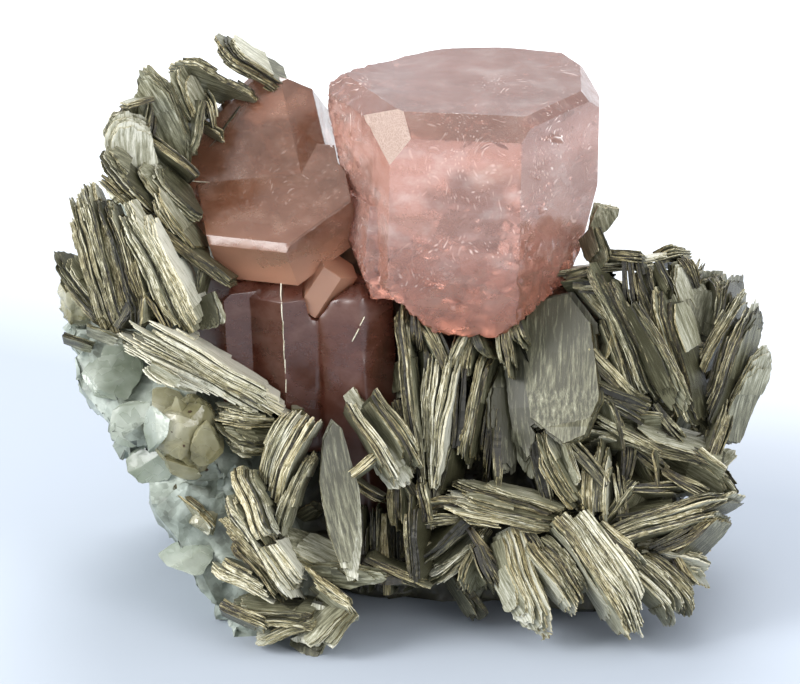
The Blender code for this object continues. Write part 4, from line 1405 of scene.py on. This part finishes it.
def cracks_along(start, end, depths, count, size, spread, rng):
    """Small cracks strewn about a line in the picture, at depths below the surface that shows there."""
    made = []
    for _ in range(count):
        share = rng.random()
        column = start[0] + (end[0] - start[0]) * share + rng.gauss(0, spread)
        row = start[1] + (end[1] - start[1]) * share + rng.gauss(0, spread)
        across = size * math.exp(rng.gauss(0, 0.5))
        middle = at(column, row, surface_depth(column, row) + rng.uniform(*depths))
        made.append((middle, glinting_normal(rng), across, across * rng.uniform(0.25, 0.7), CRACK_GAP, rng))
    return made


def strewn(rows, rng):
    """The cracks of a table: a line's ends in px, depths in mm, how many, size in mm, spread in px."""
    return [crack for row in rows for crack in cracks_along(*row, rng)]


def cut_facet(bm, corners):
    """Cuts one more facet through three points in the picture, and marks it as crazed."""
    points = [at(column, row, surface_depth(column, row)) for column, row in corners]
    normal = (points[1] - points[0]).cross(points[2] - points[0]).normalized()
    normal *= 1 if normal.dot(TOWARDS) > 0 else -1
    crazed = bm.faces.layers.float.new("crazed")
    made = cut(bm, points[0], normal, clear_outer=True)
    rim = [item for item in made["geom_cut"] if isinstance(item, bmesh.types.BMEdge)]
    for face in bmesh.ops.edgenet_fill(bm, edges=rim)["faces"]:
        face[crazed] = 1.0
        print("cut facet:", round(face.calc_area(), 1), "mm2,", len(face.verts), "corners")


def crystal_piece(name, step, shape, cracks, material, slot, facet=()):
    """The dressed crystal in place of its solid. shape(bm) makes its surface."""
    bm = merged_copy(name)
    bmesh.ops.dissolve_limit(bm, angle_limit=math.radians(1), verts=bm.verts, edges=bm.edges)
    if facet:
        cut_facet(bm, facet)
    bevel_edges(bm, EDGE_BEVEL, 12)
    cut_into_squares(bm, step)
    shape(bm)
    inner = BVHTree.FromBMesh(bm)
    for crack in cracks:
        near, outward, _, distance = inner.find_nearest(crack[0])
        if distance > LEAST_COVER and (crack[0] - near).dot(outward) < 0:
            add_crack(bm, *crack)
    bmesh.ops.scale(bm, vec=(MM, MM, MM), verts=bm.verts)
    piece = finish_piece(name + "_grown", bm, material, slot, name)
    soften(piece, 24)
    print(name, "triangles:", triangle_count(piece))


print("a glinting direction:", [round(c, 2) for c in glinting_normal(random.Random(1))])

# %% [markdown]
# ## The large pink crystal
#
# Its front faces are good, but its lower end was dissolved by the fluids that it grew from: it is
# rounded and pitted, and orange brown. The far edge of its top is humped. Both are done by moving the
# points of the finely cut skin. Each veil of painted glints is an oval in the picture that fades
# outwards. The last millimetres of the crystal's top are painted greyer, as painted shade that darkens
# the brightly lit top, and a crazed cream facet cuts its upper left edge.

# %% The large pink crystal
CREAM_FACET = ((406, 146), (386, 159), (365, 120))
TOP_SHADE_HEIGHTS = (59.5, 62.5)  # mm, between these heights the top's painted shade, a greyer pink, sets in
# Veils of painted glints: ovals where bright flecks are painted into the crystal's colour.
VEILS_AND_GLINTS = (  # column, row, half width, half height in pixels of the photo, and how strong
    (552, 135, 15, 30, 1.0), (545, 175, 17, 24, 1.0), (518, 212, 17, 26, 1.0), (566, 104, 24, 12, 0.9),
    (572, 68, 16, 8, 0.9), (590, 150, 10, 40, 0.5), (576, 236, 10, 30, 0.9), (336, 92, 10, 22, 1.0),
    (362, 84, 16, 9, 0.9), (350, 118, 12, 20, 0.7), (345, 190, 14, 40, 0.5), (462, 196, 34, 12, 0.7),
    (470, 250, 60, 12, 0.7), (420, 282, 40, 10, 0.6), (500, 86, 40, 10, 0.6), (470, 150, 60, 60, 0.4),
    (360, 240, 20, 40, 0.5),
)
LARGE_CRACKS = (
    ((588, 75), (560, 250), (0.6, 7), 44, 0.55, 8),
    ((545, 110), (520, 230), (0.6, 5), 56, 0.6, 9),
    ((335, 90), (352, 240), (0.6, 6), 34, 0.5, 6),
    ((400, 205), (560, 215), (0.6, 8), 22, 0.5, 9),
    ((400, 240), (560, 262), (0.6, 8), 34, 0.6, 9),
    ((430, 290), (540, 300), (0.6, 7), 40, 0.5, 12),
    ((350, 110), (385, 290), (0.6, 8), 26, 0.5, 9),
    ((420, 130), (520, 150), (0.6, 8), 18, 0.45, 12),
    ((470, 60), (585, 80), (0.6, 12), 16, 0.7, 12),
)


def shape_large(bm):
    """Rounded and pitted below and at the top's left, fresh elsewhere, with its glint veils and painted top
    shade.
    """

    def worn(point):
        column, row, _ = pixel_of(point)
        return row > 262 or (column < 345 and point.z > 50)

    def wear(point):
        column, row, _ = pixel_of(point)
        return 0.05 + 0.85 * ramp_between(row, 215, 285) + 0.5 * ramp_between(385 - column, 0, 40)

    veil_and_painted_glints = bm.verts.layers.float.new("veil_and_painted_glints")
    own_tint_and_top_shade = bm.verts.layers.float.new("own_tint_and_top_shade")
    for v in bm.verts:
        column, row, _ = pixel_of(v.co)
        v[own_tint_and_top_shade] = 0.6 * ramp_between(v.co.z, *TOP_SHADE_HEIGHTS)
        v[veil_and_painted_glints] = max(
            share * swell(column, c, width) * swell(row, r, height) for c, r, width, height, share in VEILS_AND_GLINTS
        )
    round_off(bm, worn, 10)
    dissolve(bm, wear)
    for v in bm.verts:
        column = pixel_of(v.co)[0]
        hump = 0.5 * swell(column, 505, 40) - 1.7 * swell(column, 398, 32)
        v.co.z += hump * ramp_between(v.co.z, 57, 65) * ramp_between(v.co.y, 2, 22)


rng = random.Random(4)
cracks = strewn(LARGE_CRACKS, rng)
crystal_piece("apatite_large", 0.65, shape_large, cracks, apatite_pink, "apatite_pink", CREAM_FACET)

# %% [markdown]
# ## The brown pair and the dark crystals below
#
# The brown pair is nearly sharp, and the small crystal grown on under it is paler. The crystals below
# are darker, and the fluids have rounded the right-hand ones until they look melted.

# %% The brown pair and the dark crystals below
PAIR_CRACKS = (
    ((200, 140), (270, 170), (0.5, 6), 20, 0.3, 10),
    ((215, 215), (330, 215), (0.5, 6), 24, 0.3, 9),
    ((240, 110), (290, 140), (0.5, 6), 12, 0.4, 8),
    ((262, 240), (300, 222), (0.4, 1), 8, 0.3, 2),
)
LOW_CRACKS = (((230, 320), (370, 350), (0.5, 6), 26, 0.35, 14),)


def shape_pair(bm):
    """Nearly sharp, with a faint veil of painted glints. The small crystal under it gets its own paler pink."""
    veil_and_painted_glints = bm.verts.layers.float.new("veil_and_painted_glints")
    own_tint_and_top_shade = bm.verts.layers.float.new("own_tint_and_top_shade")
    for v in bm.verts:
        column, row, _ = pixel_of(v.co)
        v[veil_and_painted_glints] = 0.25 * swell(column, 290, 60) * swell(row, 185, 50)
        v[own_tint_and_top_shade] = 0.75 * ramp_between(row, 255, 262) * ramp_between(column, 300, 304)
    dissolve(bm, lambda point: 0.06)


def shape_lower_group(bm):
    """The right-hand crystals are rounded by the fluids, the left-hand ones hardly."""
    round_off(bm, lambda point: True, 2)
    round_off(bm, lambda point: pixel_of(point)[0] > 302, 22)
    dissolve(bm, lambda point: 0.12)


cracks = strewn(PAIR_CRACKS, rng)
crystal_piece("apatite_pair", 0.9, shape_pair, cracks, apatite_brown, "apatite_brown")
cracks = strewn(LOW_CRACKS, rng)
crystal_piece("apatite_lower_group", 0.8, shape_lower_group, cracks, apatite_dark, "apatite_dark")

# %% [markdown]
# ## Light and floor
#
# The photograph was taken in a light tent: white all round, brightest from above and behind, so the
# crystals glow and the shadow is soft and bluish. A white sky does most of it. One lamp from the left
# and a weaker one from the right model the books, and one from above and behind shines through the
# crystals. The paper's colour is painted darker in front and at the left than behind: painted shade of
# the tent's light falling off.

# %% Floor, sky and lamps
FLOOR_SIZE = 3.0  # m
LAMP_SIZE = 0.5  # m
SKY_STRENGTH = 1.12

floor_mesh = bmesh.new()
bmesh.ops.create_grid(floor_mesh, x_segments=1, y_segments=1, size=FLOOR_SIZE / 2)
floor_data = bpy.data.meshes.new("floor")
floor_mesh.to_mesh(floor_data)
floor_mesh.free()
floor = bpy.data.objects.new("floor", floor_data)
bpy.context.scene.collection.objects.link(floor)
paper, tree, shader = new_material("paper_matt_white")
# Painted shade: the paper's colour darkens towards the front and the left, where the tent's light falls off.
slanted = add(tree, "VectorMath", {0: place_of(tree), 1: (0.5, 1.0, 0.0)}, operation="DOT_PRODUCT").outputs[1]
backwards = rescale(tree, slanted, -0.05, 0.17)
shade = ramp(tree, backwards, (0, "b0b8c2"), (0.45, "a9b1bd"), (0.72, "d0d5dc"), (1, "eef1f4"))
feed(tree, shader, {"Base Color": shade, "Roughness": 0.9})
floor.data.materials.append(paper)

world = bpy.data.worlds.new("light_tent")
bpy.context.scene.world = world
world.use_nodes = True
tree = world.node_tree
height = add(tree, "SeparateXYZ", {0: add(tree, "TexCoord").outputs["Generated"]}).outputs[2]
sky_colour = ramp(tree, height, (0, "dde3ea"), (0.5, "e9eef5"), (1, "ffffff"))
feed(tree, tree.nodes["Background"], {"Color": sky_colour, "Strength": SKY_STRENGTH})


def add_lamp(name, place, aim, power):
    data = bpy.data.lights.new(name, "AREA")
    data.shape = "DISK"
    data.size = LAMP_SIZE
    data.energy = power
    lamp = bpy.data.objects.new(name, data)
    lamp.matrix_world = (Vector(aim) - Vector(place)).to_track_quat("-Z", "Y").to_matrix().to_4x4()
    lamp.location = place
    lamp.visible_camera = False
    bpy.context.scene.collection.objects.link(lamp)


add_lamp("lamp_left", (-0.68, -0.25, 0.42), (0, 0, 0.03), 6.2)
add_lamp("lamp_right", (0.55, -0.62, 0.38), (0, 0, 0.02), 3.4)
add_lamp("lamp_above", (0.06, 0.62, 0.68), (0, 0, 0.03), 6.0)
